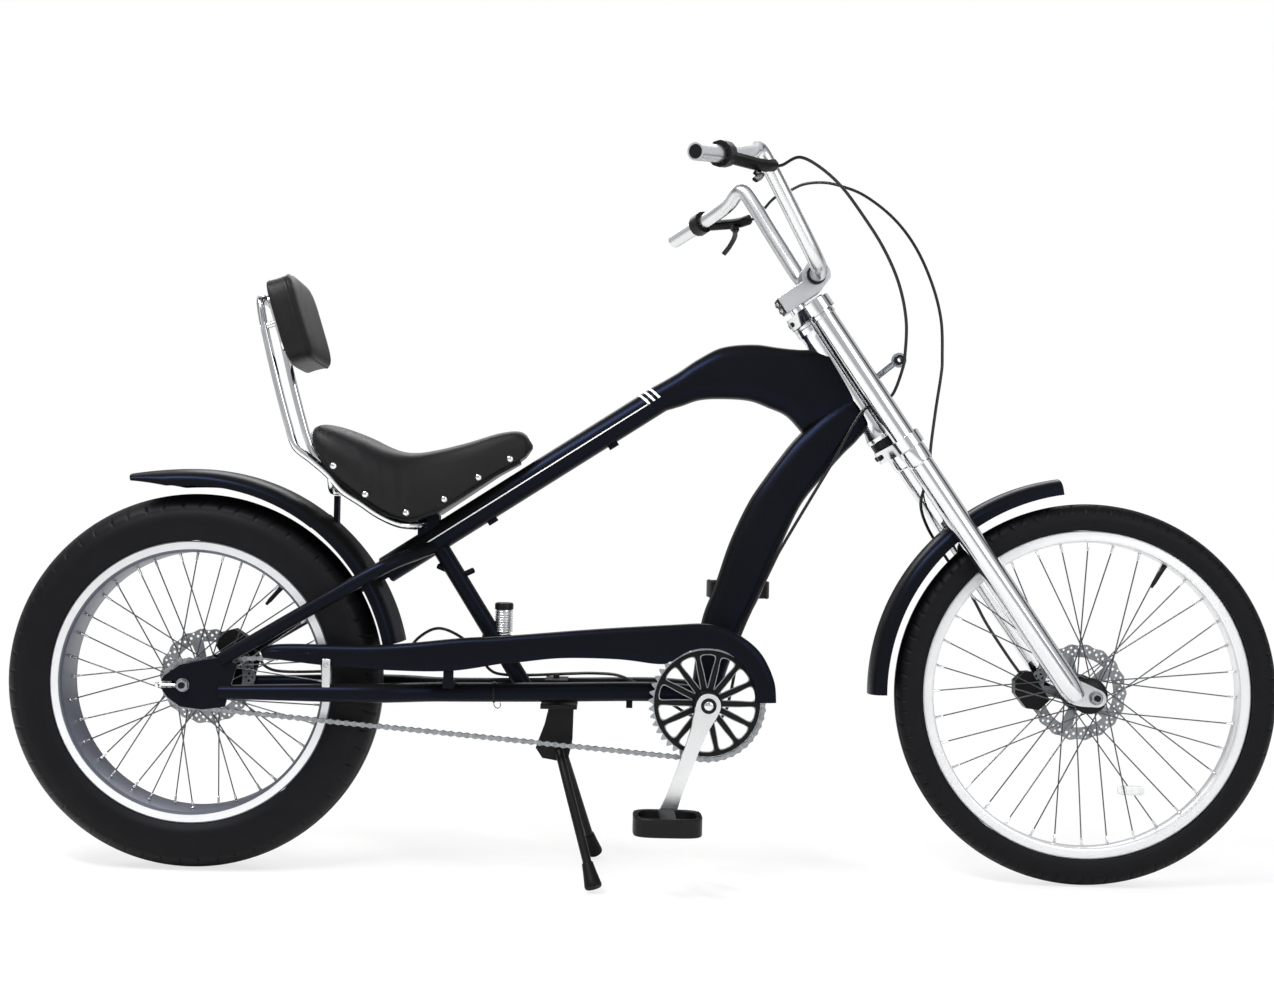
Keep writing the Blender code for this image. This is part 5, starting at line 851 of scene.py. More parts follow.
for word, s in (("left", 1), ("right", -1)):
    railPoints = mm([(800, 297, 42), (730, 300.5, 42), (560, 296, 42), (440, 293.5, 42), (385, 293, 47),
                     (330, 293, 72), (290, 292.5, 82), (220, 292, 86), (140, 291, 86.5),
                     (56, 290, 88)]) * vec(1, s, 1)
    railPath = smoothCurve(railPoints, 120)
    share = np.linspace(0, 1, 120)
    thickness = (0.0155 - 0.0045 * np.clip((share - 0.7) / 0.3, 0, 1)) / 0.0155
    section = ovalSection(0.0155, 0.0155, 1.0, 32)[None] * thickness[:, None, None]
    surface("lowerRail." + word, carried(railPath, section, (0, 1, 0)), satinPaint, "frame",
            "frame_rail_" + word, crease=40)
    stayPoints = mm([(376, 522, 14), (352, 511, 42), (322, 498, 70), (290, 480, 82), (200, 426, 86),
                     (58, 340, 88)]) * vec(1, s, 1)
    surface("seatStay." + word, carried(smoothCurve(stayPoints, 90), ovalSection(0.011, 0.011, 1.0, 28),
                                        (0, 1, 0)), satinPaint, "frame", "seat_stay_" + word,
            crease=40)
    dressed("dropout." + word, "dropout_" + word, satinPaint, "frame", 0.0012)
dressed("railBridge", "rail_bridge", satinPaint, "frame", 0.0008)
dressed("guardStrap", "guard_strap", satinPaint, "frame", 0.0006)
dressed("seatBracket", "seat_bracket", satinPaint, "frame", 0.0010)

# a nylon tie round the right rail with its loose tail, and a small tab below the rail
tieAt = vec(0.482, -0.042, 0.2944)
tieRing = turned([(0.0152, -0.0018), (0.0168, -0.0016), (0.0168, 0.0016), (0.0152, 0.0018)], tieAt,
                 (1, 0, 0), 40)
tieTail = smoothCurve([tieAt + vec(0, -0.004, -0.0158), tieAt + vec(0.0012, -0.005, -0.0215),
                       tieAt + vec(0.0062, -0.005, -0.0250), tieAt + vec(0.0108, -0.005, -0.0215),
                       tieAt + vec(0.0100, -0.004, -0.0165)], 24)
surface("railTie", tieRing, mouldedNylon, "frame", loop=True)
surface("railTieTail", carried(tieTail, ovalSection(0.0017, 0.0006, 0.5, 12), (0, 1, 0)), mouldedNylon,
        "frame", crease=50)
railTab = carried(np.array([(0.692, -0.042, 0.280), (0.702, -0.042, 0.280)]),
                  ovalSection(0.0015, 0.0065, 0.3, 16), (0, 1, 0))
surface("railTab", railTab, satinPaint, "frame", bevel=0.0004)

# chain tensioners: a bright screw and block in each rear slot
for word, s in (("left", 1), ("right", -1)):
    y = s * 0.0942
    screw = turnedRod(0.0024, (-0.036, y, 0.300), (-0.010, y, 0.300), 14, 0.0004)
    cap = turnedRod(0.0046, (-0.042, y, 0.300), (-0.037, y, 0.300), 6, 0.0006)
    surface("tensioner." + word, [screw], chromePlate, "frame", crease=30)
    surface("tensionerHead." + word, [cap], chromePlate, "frame", crease=30)

# three short white stripes and the long pin stripe on the top tube
stripes = {"places": (0.7120, 0.7200, 0.7280), "width": 0.0032, "sweepDeg": 88, "lean": 0.004,
           "lift": 0.0006, "pinDeg": (84, 88.5), "pinFrom": 0.352, "pinTo": 0.717}


def tubeSkin(x, turn, lift):
    # a place on the top tube's skin: x along it, an angle round it from the top, and a height off it
    out = vec(-math.sin(slope), 0, math.cos(slope)) * np.cos(turn)[..., None] - vec(0, 1,
                                                                                    0) * np.sin(turn)[...,
                                                                                                      None]
    line = np.stack([x, 0 * x, topTube["heightAtAxle"] + x * math.tan(slope)], -1)
    return line + out * (topTube["radius"] + lift)[..., None]


# a band's rows follow the angle round the tube; its columns are two edges outside and the same two inside
bandTurn = np.radians(np.linspace(-stripes["sweepDeg"], stripes["sweepDeg"], 45))[:, None]
bandWidth = vec(0, stripes["width"], stripes["width"], 0)[None]
bandLift = vec(stripes["lift"], stripes["lift"], -0.0004, -0.0004)[None]
bands = [tubeSkin(x + stripes["lean"] * np.abs(bandTurn) + bandWidth, bandTurn + 0 * bandWidth,
                  bandLift + 0 * bandTurn) for x in stripes["places"]]
surface("tubeStripes", bands, whiteEnamel, "frame", crease=60)
pinX = np.linspace(stripes["pinFrom"], stripes["pinTo"], 60)[:, None]
pinTurn = np.radians(vec(*stripes["pinDeg"], *stripes["pinDeg"][::-1]))[None]
pinGrid = tubeSkin(pinX + 0 * pinTurn, pinTurn + 0 * pinX, bandLift + 0 * pinX)
surface("pinStripe", [pinGrid, pinGrid * vec(1, -1, 1)], whiteEnamel, "frame", crease=60)

# seat
print("padding the saddle and the backrest")
saddleStations = np.array([(188, 701, 688, 96), (204, 713, 664, 118), (230, 711, 632, 127),
                           (270, 698, 601, 125), (310, 682, 575, 112), (345, 676, 566, 94),
                           (385, 681, 581, 72), (430, 692, 611, 54), (480, 708, 645, 41),
                           (514, 711, 664, 32), (533, 695, 680, 20)], float) / 1000
saddleLook = {"rows": 150, "skirtFold": 0.0016, "wrinkle": 0.0009}


def saddleGrid():
    # top skin over a skirt: the section is an oval arch above a straighter skirt, closed underneath
    table = smoothCurve(saddleStations, saddleLook["rows"])
    x, high, low, half = (table[:, k:k + 1] for k in range(4))
    share = np.linspace(0, 1, len(table))[:, None]
    nose = np.clip(share / 0.05, 0, 1) ** 0.5
    tail = np.clip((1 - share) / 0.04, 0, 1) ** 0.5
    plump = 0.35 + 0.65 * np.minimum(nose, tail)
    shape = smoothCurve([(0.86, 0.0), (0.945, 0.10), (0.985, 0.30), (0.985, 0.50), (0.93, 0.72),
                         (0.80, 0.88), (0.55, 0.965), (0.28, 0.992), (0.0, 1.0)], 30)
    right = shape
    left = shape[::-1][1:] * vec(-1, 1)
    ring = np.vstack([right, left, [(-0.6, 0.03), (0.0, 0.05), (0.6, 0.03)]])
    u, v = ring[:, 0][None], ring[:, 1][None]
    drop = high - low
    width = half * (0.25 + 0.75 * plump)
    y = width * u
    z = low + drop * (0.5 + (v - 0.5) * plump)
    dish = 0.004 * np.exp(-((x - 0.345) / 0.05) ** 2) * np.clip(1 - (u / 0.7) ** 2, 0, 1) * (v > 0.5)
    folds = saddleLook["wrinkle"] * np.sin(x * 260 + u * 7) * np.exp(-((v - 0.35) / 0.25) ** 2) * np.exp(
        -((x - 0.300) / 0.05) ** 2)
    edge = saddleLook["skirtFold"] * np.exp(-((v - 0.045) / 0.035) ** 2) * (np.abs(u) > 0.7)
    y = y + np.sign(u) * (folds + edge)
    return np.stack([x + 0 * u, y, z - dish], -1)


saddle = surface("saddle", saddleGrid(), saddleLeather, "frame", "saddle", crease=60)
table = smoothCurve(saddleStations, 300)


def saddleEdge(x):  # the skirt's lower edge at a place along the saddle: (half width, height)
    return np.interp(x, table[:, 0], table[:, 3]) * 0.975, np.interp(x, table[:, 0], table[:, 2])


def domeStud(at, way, root):  # a domed nail head, whose rim sinks into the leather by root
    return turned([(0.0058, -root), (0.0058, 0.0), (0.0052, 0.0014), (0.0040, 0.0026), (0.0022, 0.0034),
                   (0.0004, 0.0036)], at, way, 18)


studs = []
for x, z in ((233, 645), (282, 599), (342, 568), (398, 598), (450, 629), (499, 659)):
    half, low = saddleEdge(x / 1000)
    for s in (1, -1):
        at = vec(x / 1000, s * (half + 0.0006), max(z / 1000, low + 0.010))
        studs.append(domeStud(at, (0, s, 0), 0.001))
surface("saddleStuds", studs, chromePlate, "frame", crease=50)
rearStuds = [domeStud(vec(0.1875, y, 0.6945), (-1, 0, 0.1), 0.002) for y in (-0.055, 0.055)]
surface("saddleRearStuds", rearStuds, chromePlate, "frame", crease=50)
dressed("saddlePan", "saddle_pan", blackSteel, "frame", 0.0010)

pad = {"centre": vec(0.155, 0, 0.877), "lean": math.radians(17.5), "thickness": 0.047, "height": 0.145,
       "width": 0.200}
padUp = vec(-math.sin(pad["lean"]), 0, math.cos(pad["lean"]))
padOut = vec(math.cos(pad["lean"]), 0, math.sin(pad["lean"]))


def padPlace(out, y, up):  # a place out of the pad's face, across it and up it
    return pad["centre"] + padOut * out[..., None] + padUp * up[..., None] + vec(0, 1, 0) * y[..., None]


# rows go from the back face round the side to the crowned front; the side pulls in at a seam near the front
padRows = np.array([(-0.50, 0.40), (-0.50, 0.80), (-0.495, 0.93), (-0.47, 0.975), (-0.42, 0.99),
                    (-0.30, 0.985), (-0.15, 0.982), (0.0, 0.984), (0.12, 0.990), (0.19, 0.997),
                    (0.225, 0.985), (0.25, 0.972), (0.275, 0.984), (0.31, 0.985), (0.37, 0.955),
                    (0.42, 0.900), (0.455, 0.82), (0.48, 0.70), (0.495, 0.50), (0.502, 0.28), (0.504, 0.08)])
padOutline = ovalSection(pad["width"] / 2, pad["height"] / 2, 0.42, 72)
padBulge = 1 + 0.012 * np.cos(np.arange(72) * 2 * np.pi / 36)
padY = padRows[:, 1:] * (padOutline[:, 0] * padBulge)[None]
padZ = padRows[:, 1:] * (padOutline[:, 1] * padBulge)[None]
backrest = surface("backrestPad", padPlace(padRows[:, :1] * pad["thickness"] + 0 * padY, padY, padZ),
                   saddleLeather, "frame", "backrest_pad", crease=70)
piping = carried(padPlace(0 * padOutline[:, 0] + 0.25 * pad["thickness"], padOutline[:, 0] * 0.976,
                          padOutline[:, 1] * 0.976), ovalSection(0.0021, 0.0021, 1.0, 10), padOut, True)
surface("backrestPiping", piping, saddleLeather, "frame", loop=True, crease=60)


def underSaddle(x):  # how high the saddle's lower edge is
    return np.interp(x, saddleStations[:, 0], saddleStations[:, 2])


sissySide = [vec(x / 1000, y / 1000, z / 1000) for x, z,
             y in ((100, 912, 40), (102, 904, 62), (108, 876, 71), (129, 791, 72), (154, 704, 72),
                   (170, 668, 71))]
for x, y in ((205, 70), (232, 68), (270, 66), (300, 62), (325, 56), (345, 46), (359, 30), (364, 14)):
    lift = 0.01225 + (0.004 if x < 240 else 0.0)
    sissySide.append(vec(x / 1000, y / 1000, underSaddle(x / 1000) - lift))
sissyLoop = np.vstack([sissySide, np.array(sissySide)[::-1] * vec(1, -1, 1)])
sissyPath = smoothCurve(sissyLoop, 34, True)
sissyPath = smoothCurve(sissyPath, 260, True)
sissyTube = carried(sissyPath, ovalSection(0.00635, 0.00635, 1.0, 18), (0.55, 0.05, 0.83), True)
surface("sissyBar", sissyTube, chromePlate, "frame", "sissy_bar", loop=True, crease=60)
backFace = -pad["thickness"] / 2 - 0.0003
plateOutline = ovalSection(0.084, 0.050, 0.3, 64)
plateRows = np.array([(backFace - 0.004, 0.985), (backFace - 0.0035, 1.0), (backFace - 0.0005, 1.0),
                      (backFace, 0.99)])
plateGrid = padPlace(plateRows[:, :1] + 0 * plateOutline[None, :, 0],
                     plateRows[:, 1:] * plateOutline[None, :, 0],
                     plateRows[:, 1:] * plateOutline[None, :, 1])
surface("backrestPlate", plateGrid, chromePlate, "frame", crease=30)
studGrids = []
for s in (1, -1):
    ends = padPlace(np.array([backFace - 0.002, backFace - 0.028]), np.array([s * 0.072] * 2), np.zeros(2))
    studGrids.append(turnedRod(0.005, ends[0], ends[1], 20, 0.0006))
surface("backrestBolts", studGrids, chromePlate, "frame", crease=30)
crossHalf = mm([(219.5, 629, 71), (219.5, 614, 62), (219.5, 607.5, 46), (219.5, 607.5, 20)])
crossPath = smoothCurve(np.vstack([crossHalf, crossHalf[::-1] * vec(1, -1, 1)]), 60)
surface("seatCrossBar", carried(crossPath, ovalSection(0.005, 0.005, 1.0, 18), (1, 0, 0)), chromePlate,
        "frame", crease=50)

# drive
print("cutting the chainring and linking the chain")
drive = {"bracket": (bracketAt[0], bracketAt[2]), "sprocket": (0.0, 0.300), "chainY": -0.064,
         "pitch": 0.0127, "ringTeeth": 44, "sprocketTeeth": 18, "arms": 14}
ringRadius = drive["pitch"] / (2 * math.sin(math.pi / drive["ringTeeth"]))
sprocketRadius = drive["pitch"] / (2 * math.sin(math.pi / drive["sprocketTeeth"]))


def arcPoints(centre, radius, angles):  # centre + radius (cos, sin)
    return np.stack([centre[0] + radius * np.cos(angles), centre[1] + radius * np.sin(angles)], 1)


def chainPins():
    # the belt line round both rings, cut into an even number of equal pitches
    a, b = np.array(drive["sprocket"]), np.array(drive["bracket"])
    gap = b - a
    base = math.atan2(gap[1], gap[0])
    spread = math.acos((ringRadius - sprocketRadius) / np.linalg.norm(gap))
    up, down = base + math.pi - spread, base - math.pi + spread
    big = arcPoints(b, ringRadius, np.linspace(up, down, 240))
    small = arcPoints(a, sprocketRadius, np.linspace(down + 2 * math.pi, up, 120))
    line = np.vstack([big, small])
    line = np.vstack([line, line[:1]])
    far = np.r_[0, np.cumsum(np.linalg.norm(np.diff(line, axis=0), axis=1))]
    count = 2 * round(far[-1] / drive["pitch"] / 2)
    want = np.linspace(0, far[-1], count, endpoint=False)
    return np.stack([np.interp(want, far, line[:, k]) for k in range(2)], 1)


ringY = drive["chainY"]
pins = chainPins()
nextPins = np.roll(pins, -1, 0)
linkWay = unit(nextPins - pins)
linkUp = np.stack([-linkWay[:, 1], linkWay[:, 0]], 1)
length = np.linalg.norm(nextPins - pins, axis=1)[:, None]
link = {"endRadius": 0.0043, "waist": 0.0023, "thickness": 0.0010, "outerOff": 0.0038, "innerOff": 0.0026}
linkEnd = [(link["endRadius"] * math.cos(a), link["endRadius"] * math.sin(a))
           for a in np.linspace(0.5 * np.pi, 1.5 * np.pi, 5)]


def linkPlates(which, y, thickness):
    # a waisted plate over each pair of pins: half circles at both pins and a narrow waist between them
    p, way, up, gap = pins[which], linkWay[which], linkUp[which], length[which]
    outline = [(0, x, z) for x, z in linkEnd] + [(0.5, 0, -link["waist"])]
    outline += [(1, -x, -z) for x, z in linkEnd] + [(0.5, 0, link["waist"])]
    flat = []
    for share, x, z in outline:
        flat.append(p + way * (gap * share + x) + up * z)
    flat = np.stack(flat, 1)
    rows = []
    for depth in (y - thickness / 2, y + thickness / 2):
        rows.append(np.stack([flat[..., 0], np.full(flat.shape[:2], depth), flat[..., 1]], -1))
    return list(np.stack(rows, 1))


outerLinks, innerLinks = np.arange(0, len(pins), 2), np.arange(1, len(pins), 2)
outer = [g for s in (1, -1) for g in linkPlates(outerLinks, ringY + s * link["outerOff"], link["thickness"])]
inner = [g for s in (1, -1) for g in linkPlates(innerLinks, ringY + s * link["innerOff"], link["thickness"])]
surface("chain", outer, chainSteel, "frame", "chain", crease=30)
surface("chainInnerPlates", inner, zincSteel, "frame", crease=30)
pinPlace = np.stack([pins[:, 0], np.full(len(pins), ringY), pins[:, 1]], 1)
rollers = rods(pinPlace - vec(0, 0.0020, 0), pinPlace + vec(0, 0.0020, 0), [(0, 0.0033), (1, 0.0033)], 10)
rivets = rods(pinPlace - vec(0, 0.0046, 0), pinPlace + vec(0, 0.0046, 0), [(0, 0.0017), (1, 0.0017)], 8)
surface("chainRollers", rollers + rivets, chainSteel, "frame", crease=30)


def toothOutline(centre, teeth, radius):
    # rounded roots, each round a pin of the chain, between blunt tips, eight points a tooth
    gaps = pins - np.array(centre)
    held = gaps[np.abs(np.linalg.norm(gaps, axis=1) - radius) < 0.0003]
    middle = held[len(held) // 2]
    share = np.arange(teeth * 8) / 8.0
    wave = 0.5 - 0.5 * np.cos(2 * np.pi * share)
    reach = radius - 0.0042 + 0.0076 * wave
    angle = 2 * np.pi * share / teeth + math.atan2(middle[1], middle[0])
    return np.stack([centre[0] + reach * np.cos(angle), centre[1] + reach * np.sin(angle)], 1)


def petal(centre, middle, inner, outer, innerHalf, outerHalf):
    # a long window that widens outwards and has round ends
    reach = np.array([inner, inner + 0.004, (inner + outer) / 2, outer - 0.006, outer - 0.001, outer])
    half = np.array([innerHalf * 0.5, innerHalf, (innerHalf + outerHalf) / 2, outerHalf, outerHalf * 0.72,
                     0.0])
    up = np.stack([reach, half], 1)
    down = np.stack([reach[::-1][1:], -half[::-1][1:]], 1)
    loop = smoothCurve(np.vstack([up, down]), 36, True)
    c, s = math.cos(middle), math.sin(middle)
    return np.stack([centre[0] + loop[:, 0] * c - loop[:, 1] * s,
                     centre[1] + loop[:, 0] * s + loop[:, 1] * c], 1)


windows, insets = [], []
for k in range(drive["arms"]):
    middle = 2 * math.pi * (k + 0.5) / drive["arms"]
    windows.append(petal(drive["bracket"], middle, 0.0235, 0.0775, 0.0020, 0.0128))
    insets.append(petal(drive["bracket"], middle, 0.0250, 0.0762, 0.0010, 0.0112))
boreHole = circleAt(drive["bracket"], 0.0092, 28)
plate("chainring", toothOutline(drive["bracket"], drive["ringTeeth"], ringRadius), insets + [boreHole],
      ringY - 0.0008, ringY + 0.0010, zincSteel, "crank", "chainring", crease=30)
plate("chainringCover", circleAt(drive["bracket"], 0.0836, 160), windows + [boreHole], ringY - 0.0026,
      ringY - 0.0009, blackAnodised, "crank", crease=30, bevel=0.0004)
ringBoss = [(0.0090, -0.0034), (0.0185, -0.0034), (0.0198, -0.0026), (0.0200, 0.0026), (0.0090, 0.0030)]
surface("chainringBoss", turned([(r, y + ringY) for r, y in ringBoss], bracketAt, (0, 1, 0), 48),
        blackAnodised, "crank", loop=True)
sprocketHoles = [circleAt((0.022 * math.cos(a), 0.300 + 0.022 * math.sin(a)), 0.0045, 14)
                 for a in np.arange(6) * math.pi / 3]
plate("rearSprocket", toothOutline(drive["sprocket"], drive["sprocketTeeth"], sprocketRadius),
      sprocketHoles + [circleAt(drive["sprocket"], 0.0116, 28)], ringY - 0.0009, ringY + 0.0009, chainSteel,
      "sprocket", "rear_sprocket", crease=30)

crankAngle = math.radians(19.8)
crank = {"length": 0.185, "inner": 0.0945, "thickness": 0.013}
crankEdge = np.array([(-0.0190, 0.0000), (-0.0175, 0.0075), (-0.0130, 0.0140), (-0.0060, 0.0180),
                      (0.0020, 0.0190), (0.0120, 0.0180), (0.0220, 0.0160), (0.0500, 0.0122),
                      (0.1000, 0.0108), (0.1500, 0.0110), (0.1720, 0.0130), (0.1850, 0.0138),
                      (0.1940, 0.0110), (0.1985, 0.0045)])
for word, s in (("left", 1), ("right", -1)):
    way = vec(-math.sin(crankAngle), -math.cos(crankAngle)) * (-s)
    turnWay = vec(-way[1], way[0])
    loop = smoothCurve(np.vstack([crankEdge, crankEdge[::-1][:-1] * vec(1, -1)]), 110, True)
    outline = np.array(drive["bracket"]) + loop[:, :1] * way + loop[:, 1:] * turnWay
    eye = np.array(drive["bracket"]) + way * crank["length"]
    low, high = sorted((s * crank["inner"], s * (crank["inner"] + crank["thickness"])))
    arm = plate("crankArm." + word, outline, [circleAt(eye, 0.0066, 24)], low, high, polishedAlloy, "crank",
                "crank_" + word, bevel=0.0028)
    arm.modifiers[0].segments = 3
    face = s * (crank["inner"] + crank["thickness"])
    ring = [(0.0070, face), (0.0118, face), (0.0122, face + s * 0.0008), (0.0118, face + s * 0.0014),
            (0.0070, face + s * 0.0014)]
    cap = [(0.0006, face), (0.0066, face), (0.0066, face + s * 0.0016), (0.0050, face + s * 0.0026),
           (0.0006, face + s * 0.0028)]
    surface("crankRing." + word, turned(ring, bracketAt, (0, 1, 0), 40), mouldedNylon, "crank",
            loop=True)
    surface("crankCap." + word, turned(cap, bracketAt, (0, 1, 0), 40), chromePlate, "crank")
spindle = [(0.0020, -0.0935), (0.0083, -0.0935), (0.0083, 0.0960), (0.0020, 0.0960)]
surface("spindle", turned(spindle, bracketAt, (0, 1, 0), 32), blackSteel, "crank")
collar = [(0.0090, -0.0674), (0.0120, -0.0674), (0.0130, -0.0684), (0.0130, -0.0940), (0.0090, -0.0940)]
surface("crankCollar", turned(collar, bracketAt, (0, 1, 0), 40), blackAnodised, "crank",
        loop=True)



def pedalPlaces(eye, inner, s):  # lays a flat outline (along the bicycle, outwards) level at the crank's eye
    return lambda a, b, depth: np.stack([eye[0] + a, s * (inner + b), eye[1] + depth + 0 * a], -1)


pedal = {"length": 0.105, "width": 0.095, "height": 0.028, "gap": 0.003, "wall": 0.0075}
for word, s in (("left", 1), ("right", -1)):
    way = vec(-math.sin(crankAngle), -math.cos(crankAngle)) * (-s)
    eye = np.array(drive["bracket"]) + way * crank["length"]
    inner = crank["inner"] + crank["thickness"] + pedal["gap"]
    halfL, w = pedal["length"] / 2, pedal["width"]
    # the cage is an oval with squared sides, and each window a D beside the barrel
    cage = ovalSection(halfL, w / 2, 0.5, 64) + vec(0, w / 2)
    turn = np.linspace(-np.pi / 2, np.pi / 2, 21)
    reach = (halfL - pedal["wall"] - 0.0125) * np.abs(np.cos(turn)) ** 0.5
    rise = w / 2 + (w / 2 - 0.0105) * np.sign(turn) * np.abs(np.sin(turn)) ** 0.7
    windowsOut = [np.stack([side * (0.0125 + reach), rise], 1) for side in (-1, 1)]
    plate("pedal." + word, cage, windowsOut, -pedal["height"] / 2, pedal["height"] / 2, mouldedNylon,
          "pedal_" + word[0], "pedal_" + word, toWorld=pedalPlaces(eye, inner, s),
          bevel=0.0036)
    teeth = []
    for side in (-1, 1):
        for k in range(5):
            for x in (-halfL + 0.005, halfL - 0.005):
                base = vec(eye[0] + x, s * (inner + 0.022 + 0.0128 * k),
                           eye[1] + side * (pedal["height"] / 2 - 0.001))
                teeth.append(turned([(0.0024, 0), (0.0022, 0.0018), (0.0006, 0.0022)], base, (0, 0, side),
                                    8))
    surface("pedalStuds." + word, teeth, mouldedNylon, "pedal_" + word[0], crease=40)
    shaft = turnedRod(0.0058, (eye[0], s * (crank["inner"] + 0.002), eye[1]),
                      (eye[0], s * (inner + 0.012), eye[1]), 24)
    barrel = turnedRod(0.0098, (eye[0], s * (inner + 0.004), eye[1]),
                       (eye[0], s * (inner + w - 0.006), eye[1]), 24, 0.002)
    surface("pedalAxle." + word, shaft, chromePlate, "pedal_" + word[0])
    surface("pedalBarrel." + word, barrel, mouldedNylon, "pedal_" + word[0])

# chain guard
print("pressing the chain guard")
guardTop = np.array([(118, 357), (150, 366), (304, 368), (429, 381), (498, 386), (643, 400), (760, 409),
                     (808, 412), (836, 408), (869, 394), (895, 374), (911, 351), (923, 321), (926, 291)],
                    float) / 1000
guardBottom = np.array([(124, 345), (230, 334), (342, 329), (422, 331), (494, 343), (522, 346), (590, 354),
                        (677, 354), (739, 348), (759, 352), (788, 369), (816, 374), (848, 368), (878, 342),
                        (890, 320), (892, 291)], float) / 1000
guard = {"outer": 0.092, "flange": 0.0725, "wall": 0.0028, "round": 0.0085, "roll": 0.0165, "rows": 220}


def guardGrid():
    # from the flange behind the top edge the section rolls over it, runs down the face, then back inside
    top, bottom = smoothCurve(guardTop, guard["rows"]), smoothCurve(guardBottom, guard["rows"])
    way = unit(bottom - top)
    width = np.linalg.norm(bottom - top, axis=1)
    a = np.linspace(0, np.pi / 2, 9)
    r, w, d = guard["round"], guard["wall"], guard["roll"]
    face = [(guard["flange"], 0.0)] + [(guard["outer"] - r + r * math.sin(t), d - d * math.cos(t)) for t in
                                       a]
    inside = [(guard["outer"] - r + (r - w) * math.sin(t), d - (d - w) * math.cos(t)) for t in a[::-1]]
    inside += [(guard["flange"], w)]
    rows = [(y, down, 0.0) for y, down in face]
    rows += [(guard["outer"], 0.35, 1.0), (guard["outer"], 0.70, 1.0),
             (guard["outer"] - 0.0002, -0.0014, 2.0), (guard["outer"] - 0.0012, -0.0002, 2.0),
             (guard["outer"] - w, 0.0, 2.0), (guard["outer"] - w, 0.70, 1.0),
             (guard["outer"] - w, 0.35, 1.0)]
    rows += [(y, down, 0.0) for y, down in inside]
    rows = np.array(rows)
    near = rows[:, 2] == 0
    shared = rows[:, 2] == 1
    limit = np.minimum(width[:, None] * 0.45, 1.0)
    drop = np.where(near, np.minimum(rows[:, 1], limit),
                    np.where(shared, d + rows[:, 1] * (width[:, None] - d), width[:, None] + rows[:, 1]))
    drop = np.minimum(drop, width[:, None])
    place = top[:, None] + way[:, None] * drop[..., None]
    return np.stack([place[..., 0], np.broadcast_to(-rows[:, 0], drop.shape), place[..., 1]], -1)


surface("chainGuard", guardGrid(), satinPaint, "frame", "chain_guard", crease=55)
clip = ovalSection(0.0065, 0.0022, 0.4, 20)
clipPath = np.array([(0.2235, -0.0945, z) for z in (0.2965, 0.315, 0.3455)])
surface("guardClip", carried(clipPath, clip, (1, 0, 0)), polishedAlloy, "frame", bevel=0.0005)
clipHead = turnedRod(0.0038, (0.2235, -0.0998, 0.336), (0.2235, -0.0966, 0.336), 16, 0.0006)
surface("guardClipScrew", clipHead, chromePlate, "frame", crease=30)

# stand, brakes and small fittings
print("adding the stand, the brakes and the cables")
dressed("standBracket", "stand_bracket", blackSteel, "frame", 0.0010)
standTop, standFoot = vec(0.588, 0.040, 0.200), vec(0.648, 0.140, 0.004)
standLeg = smoothCurve([vec(0.588, 0.030, 0.201), standTop,
                        standTop + (standFoot - standTop) * 0.25 + vec(0, 0.004, 0),
                        standTop + (standFoot - standTop) * 0.6, standFoot + (standTop - standFoot) * 0.03],
                       60)
bothSides = (vec(1, 1, 1), vec(1, -1, 1))
legs = [carried(standLeg * side, ovalSection(0.0070, 0.0070, 1.0, 22), (1, 0, 0)) for side in bothSides]
surface("stand", legs + [turnedRod(0.006, (0.588, -0.034, 0.200), (0.588, 0.034, 0.200), 24)], blackSteel,
        "side_stand", "stand", crease=40)
bootProfile = [(0.0030, 0.0), (0.0118, 0.0), (0.0132, 0.0014), (0.0136, 0.0045), (0.0124, 0.0120),
               (0.0104, 0.0260), (0.0090, 0.0380), (0.0087, 0.0400), (0.0060, 0.0404)]
standWay = unit(standTop - standFoot)
boots = [turned(bootProfile, (standFoot + standWay * 0.0042) * side, standWay * side, 30) for side in
         bothSides]
surface("standBoots", boots, tyreRubber, "side_stand", crease=40)
dressed("frontCaliper", "front_caliper", blackAnodised, "steering", 0.0009)
dressed("rearCaliper", "rear_caliper", blackAnodised, "frame", 0.0003)
for name, spots, body in (("frontCaliperBolts", [steer(0.030, 0.003), steer(0.058, 0.001)],
                           "steering"),
                          ("rearCaliperBolts", [vec(0.030, 0, 0.352), vec(0.058, 0, 0.348)], "frame")):
    y = 0.0530 if body == "steering" else 0.0855
    heads = [turnedRod(0.0046, at * vec(1, 0, 1) + vec(0, y - 0.0005, 0),
                       at * vec(1, 0, 1) + vec(0, y + 0.0035, 0), 18, 0.0008) for at in spots]
    surface(name, heads, chromePlate, body, crease=30)

ribbed = [(0.003, 0.3835), (0.0110, 0.3835), (0.0116, 0.3845), (0.0116, 0.3870)]
for k in range(9):
    z = 0.3876 + 0.0039 * k
    ribbed += [(0.0134, z), (0.0143, z + 0.0008), (0.0145, z + 0.0015), (0.0143, z + 0.0022),
               (0.0134, z + 0.0030)]
ribbed += [(0.0130, 0.4235), (0.003, 0.4236)]
surface("ribbedCylinder", turned(ribbed, (0.4925, 0, 0), (0, 0, 1), 40), polishedAlloy, "frame",
        "ribbed_cylinder", crease=35)
capProfile = [(0.003, 0.4236), (0.0142, 0.4238), (0.0150, 0.4248), (0.0150, 0.4325), (0.0140, 0.4345),
              (0.0110, 0.4355), (0.001, 0.4357)]
surface("ribbedCylinderCap", turned(capProfile, (0.4925, 0, 0), (0, 0, 1), 40), mouldedNylon, "frame",
        crease=35)
footPath = np.array([(0.4585, 0, 0.380), (0.505, 0, 0.380)])
surface("ribbedCylinderFoot", carried(footPath, ovalSection(0.0085, 0.0032, 0.35, 20), (0, 1, 0)),
        mouldedNylon, "frame", bevel=0.0006)

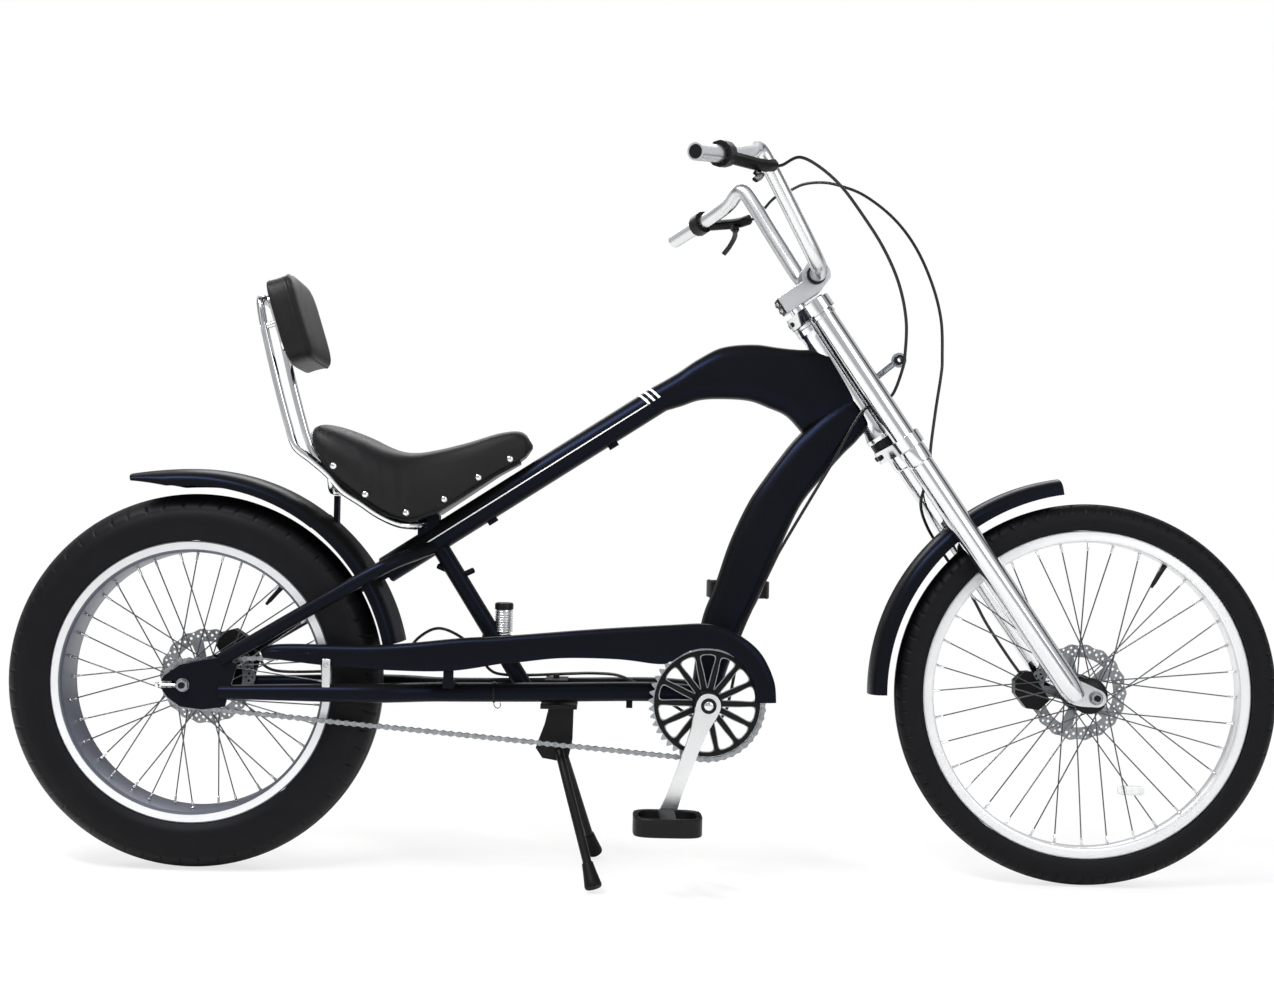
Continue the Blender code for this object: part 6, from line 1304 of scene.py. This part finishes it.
for name, x, z, way in (("upperGuide", 0.470, 0.568, (0.55, 0, -0.84)),
                        ("lowerGuide", 0.662, 0.694, (0.55, 0, -0.84))):
    block = carried(np.array([(x - 0.007, 0, z - 0.0046), (x + 0.007, 0, z + 0.0046)]),
                    ovalSection(0.006, 0.0060, 0.5, 18), (0, 1, 0))
    surface(name, block, satinPaint, "frame", bevel=0.0006)

cableRadius = 0.0025
cableSide = (0.08, 1, 0.05)
leverAxis = vec(0.4723, 0.3318, 0.8166)
perchEnd = vec(0.868, 0.214, 1.087) + leverAxis * 0.0142 + vec(0.0185, -0.0145, 0.004)
exitWay = unit(vec(0.018, -0.014, 0.004))
frontStart = perchEnd + exitWay * 0.0003
rearStart = frontStart * vec(1, -1, 1)
rearRoute = np.vstack([[rearStart, rearStart + vec(0.012, 0.0095, 0.003)],
                       mm([(934, 1125, -165), (965, 1116, -150), (1001, 1091, -135), (1035, 1055, -118),
                           (1075, 1004, -98), (1104, 951, -80), (1120, 896, -62), (1122, 845, -48),
                           (1119, 818, -40), (1106, 781, -32), (1085, 768, -29.7), (1062, 757, -30),
                           (1043, 728, -30.5), (1024, 692, -30), (1008, 662, -29.8), (985, 622, -29.8),
                           (939, 541, -29.5), (921, 505, -29), (872, 393, -28.5), (866, 345, -30),
                           (858, 296, -28), (848, 262, -20), (824, 251, 0), (790, 262, 12), (752, 285, 14),
                           (715, 304, 18), (680, 319, 27), (640, 321, 37), (600, 319, 42.5),
                           (540, 315.5, 43), (494, 315, 43), (469, 322, 45), (448, 348, 48), (420, 374, 52),
                           (382, 388, 57), (349, 372, 66), (320, 338, 72), (285, 317, 77), (200, 311, 84),
                           (120, 309, 84), (92, 318, 78), (82, 337, 72), (74, 350, 70)])])
frontRoute = np.vstack([[frontStart, frontStart + vec(0.012, -0.0095, 0.003)],
                        mm([(929, 1131, 165), (953, 1141, 150), (977, 1151, 138), (1007, 1152, 125),
                            (1036, 1145, 115), (1076, 1127, 104), (1123, 1088, 92), (1159, 1039, 82),
                            (1186, 977, 72), (1201, 915, 64), (1203, 852, 58), (1201, 824, 54),
                            (1192, 765, 48), (1183, 700, 38), (1180, 662, 27), (1172, 636, 27),
                            (1168, 608, 34), (1180, 577, 48), (1204, 540, 58), (1258, 464, 61),
                            (1286, 415, 61)]), [steer(0.110, -0.019, 0.054), steer(0.0785, -0.019, 0.047)]])
rearCable = surface("rearBrakeCable", carried(smoothCurve(rearRoute, 420),
                                              ovalSection(cableRadius, cableRadius, 1.0, 12), cableSide),
                    cableVinyl, None, "rear_brake_cable", crease=60)
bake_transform(rearCable)
surface("frontBrakeCable", carried(smoothCurve(frontRoute, 240),
                                   ovalSection(cableRadius, cableRadius, 1.0, 12), cableSide), cableVinyl,
        "steering", "front_brake_cable", crease=60)
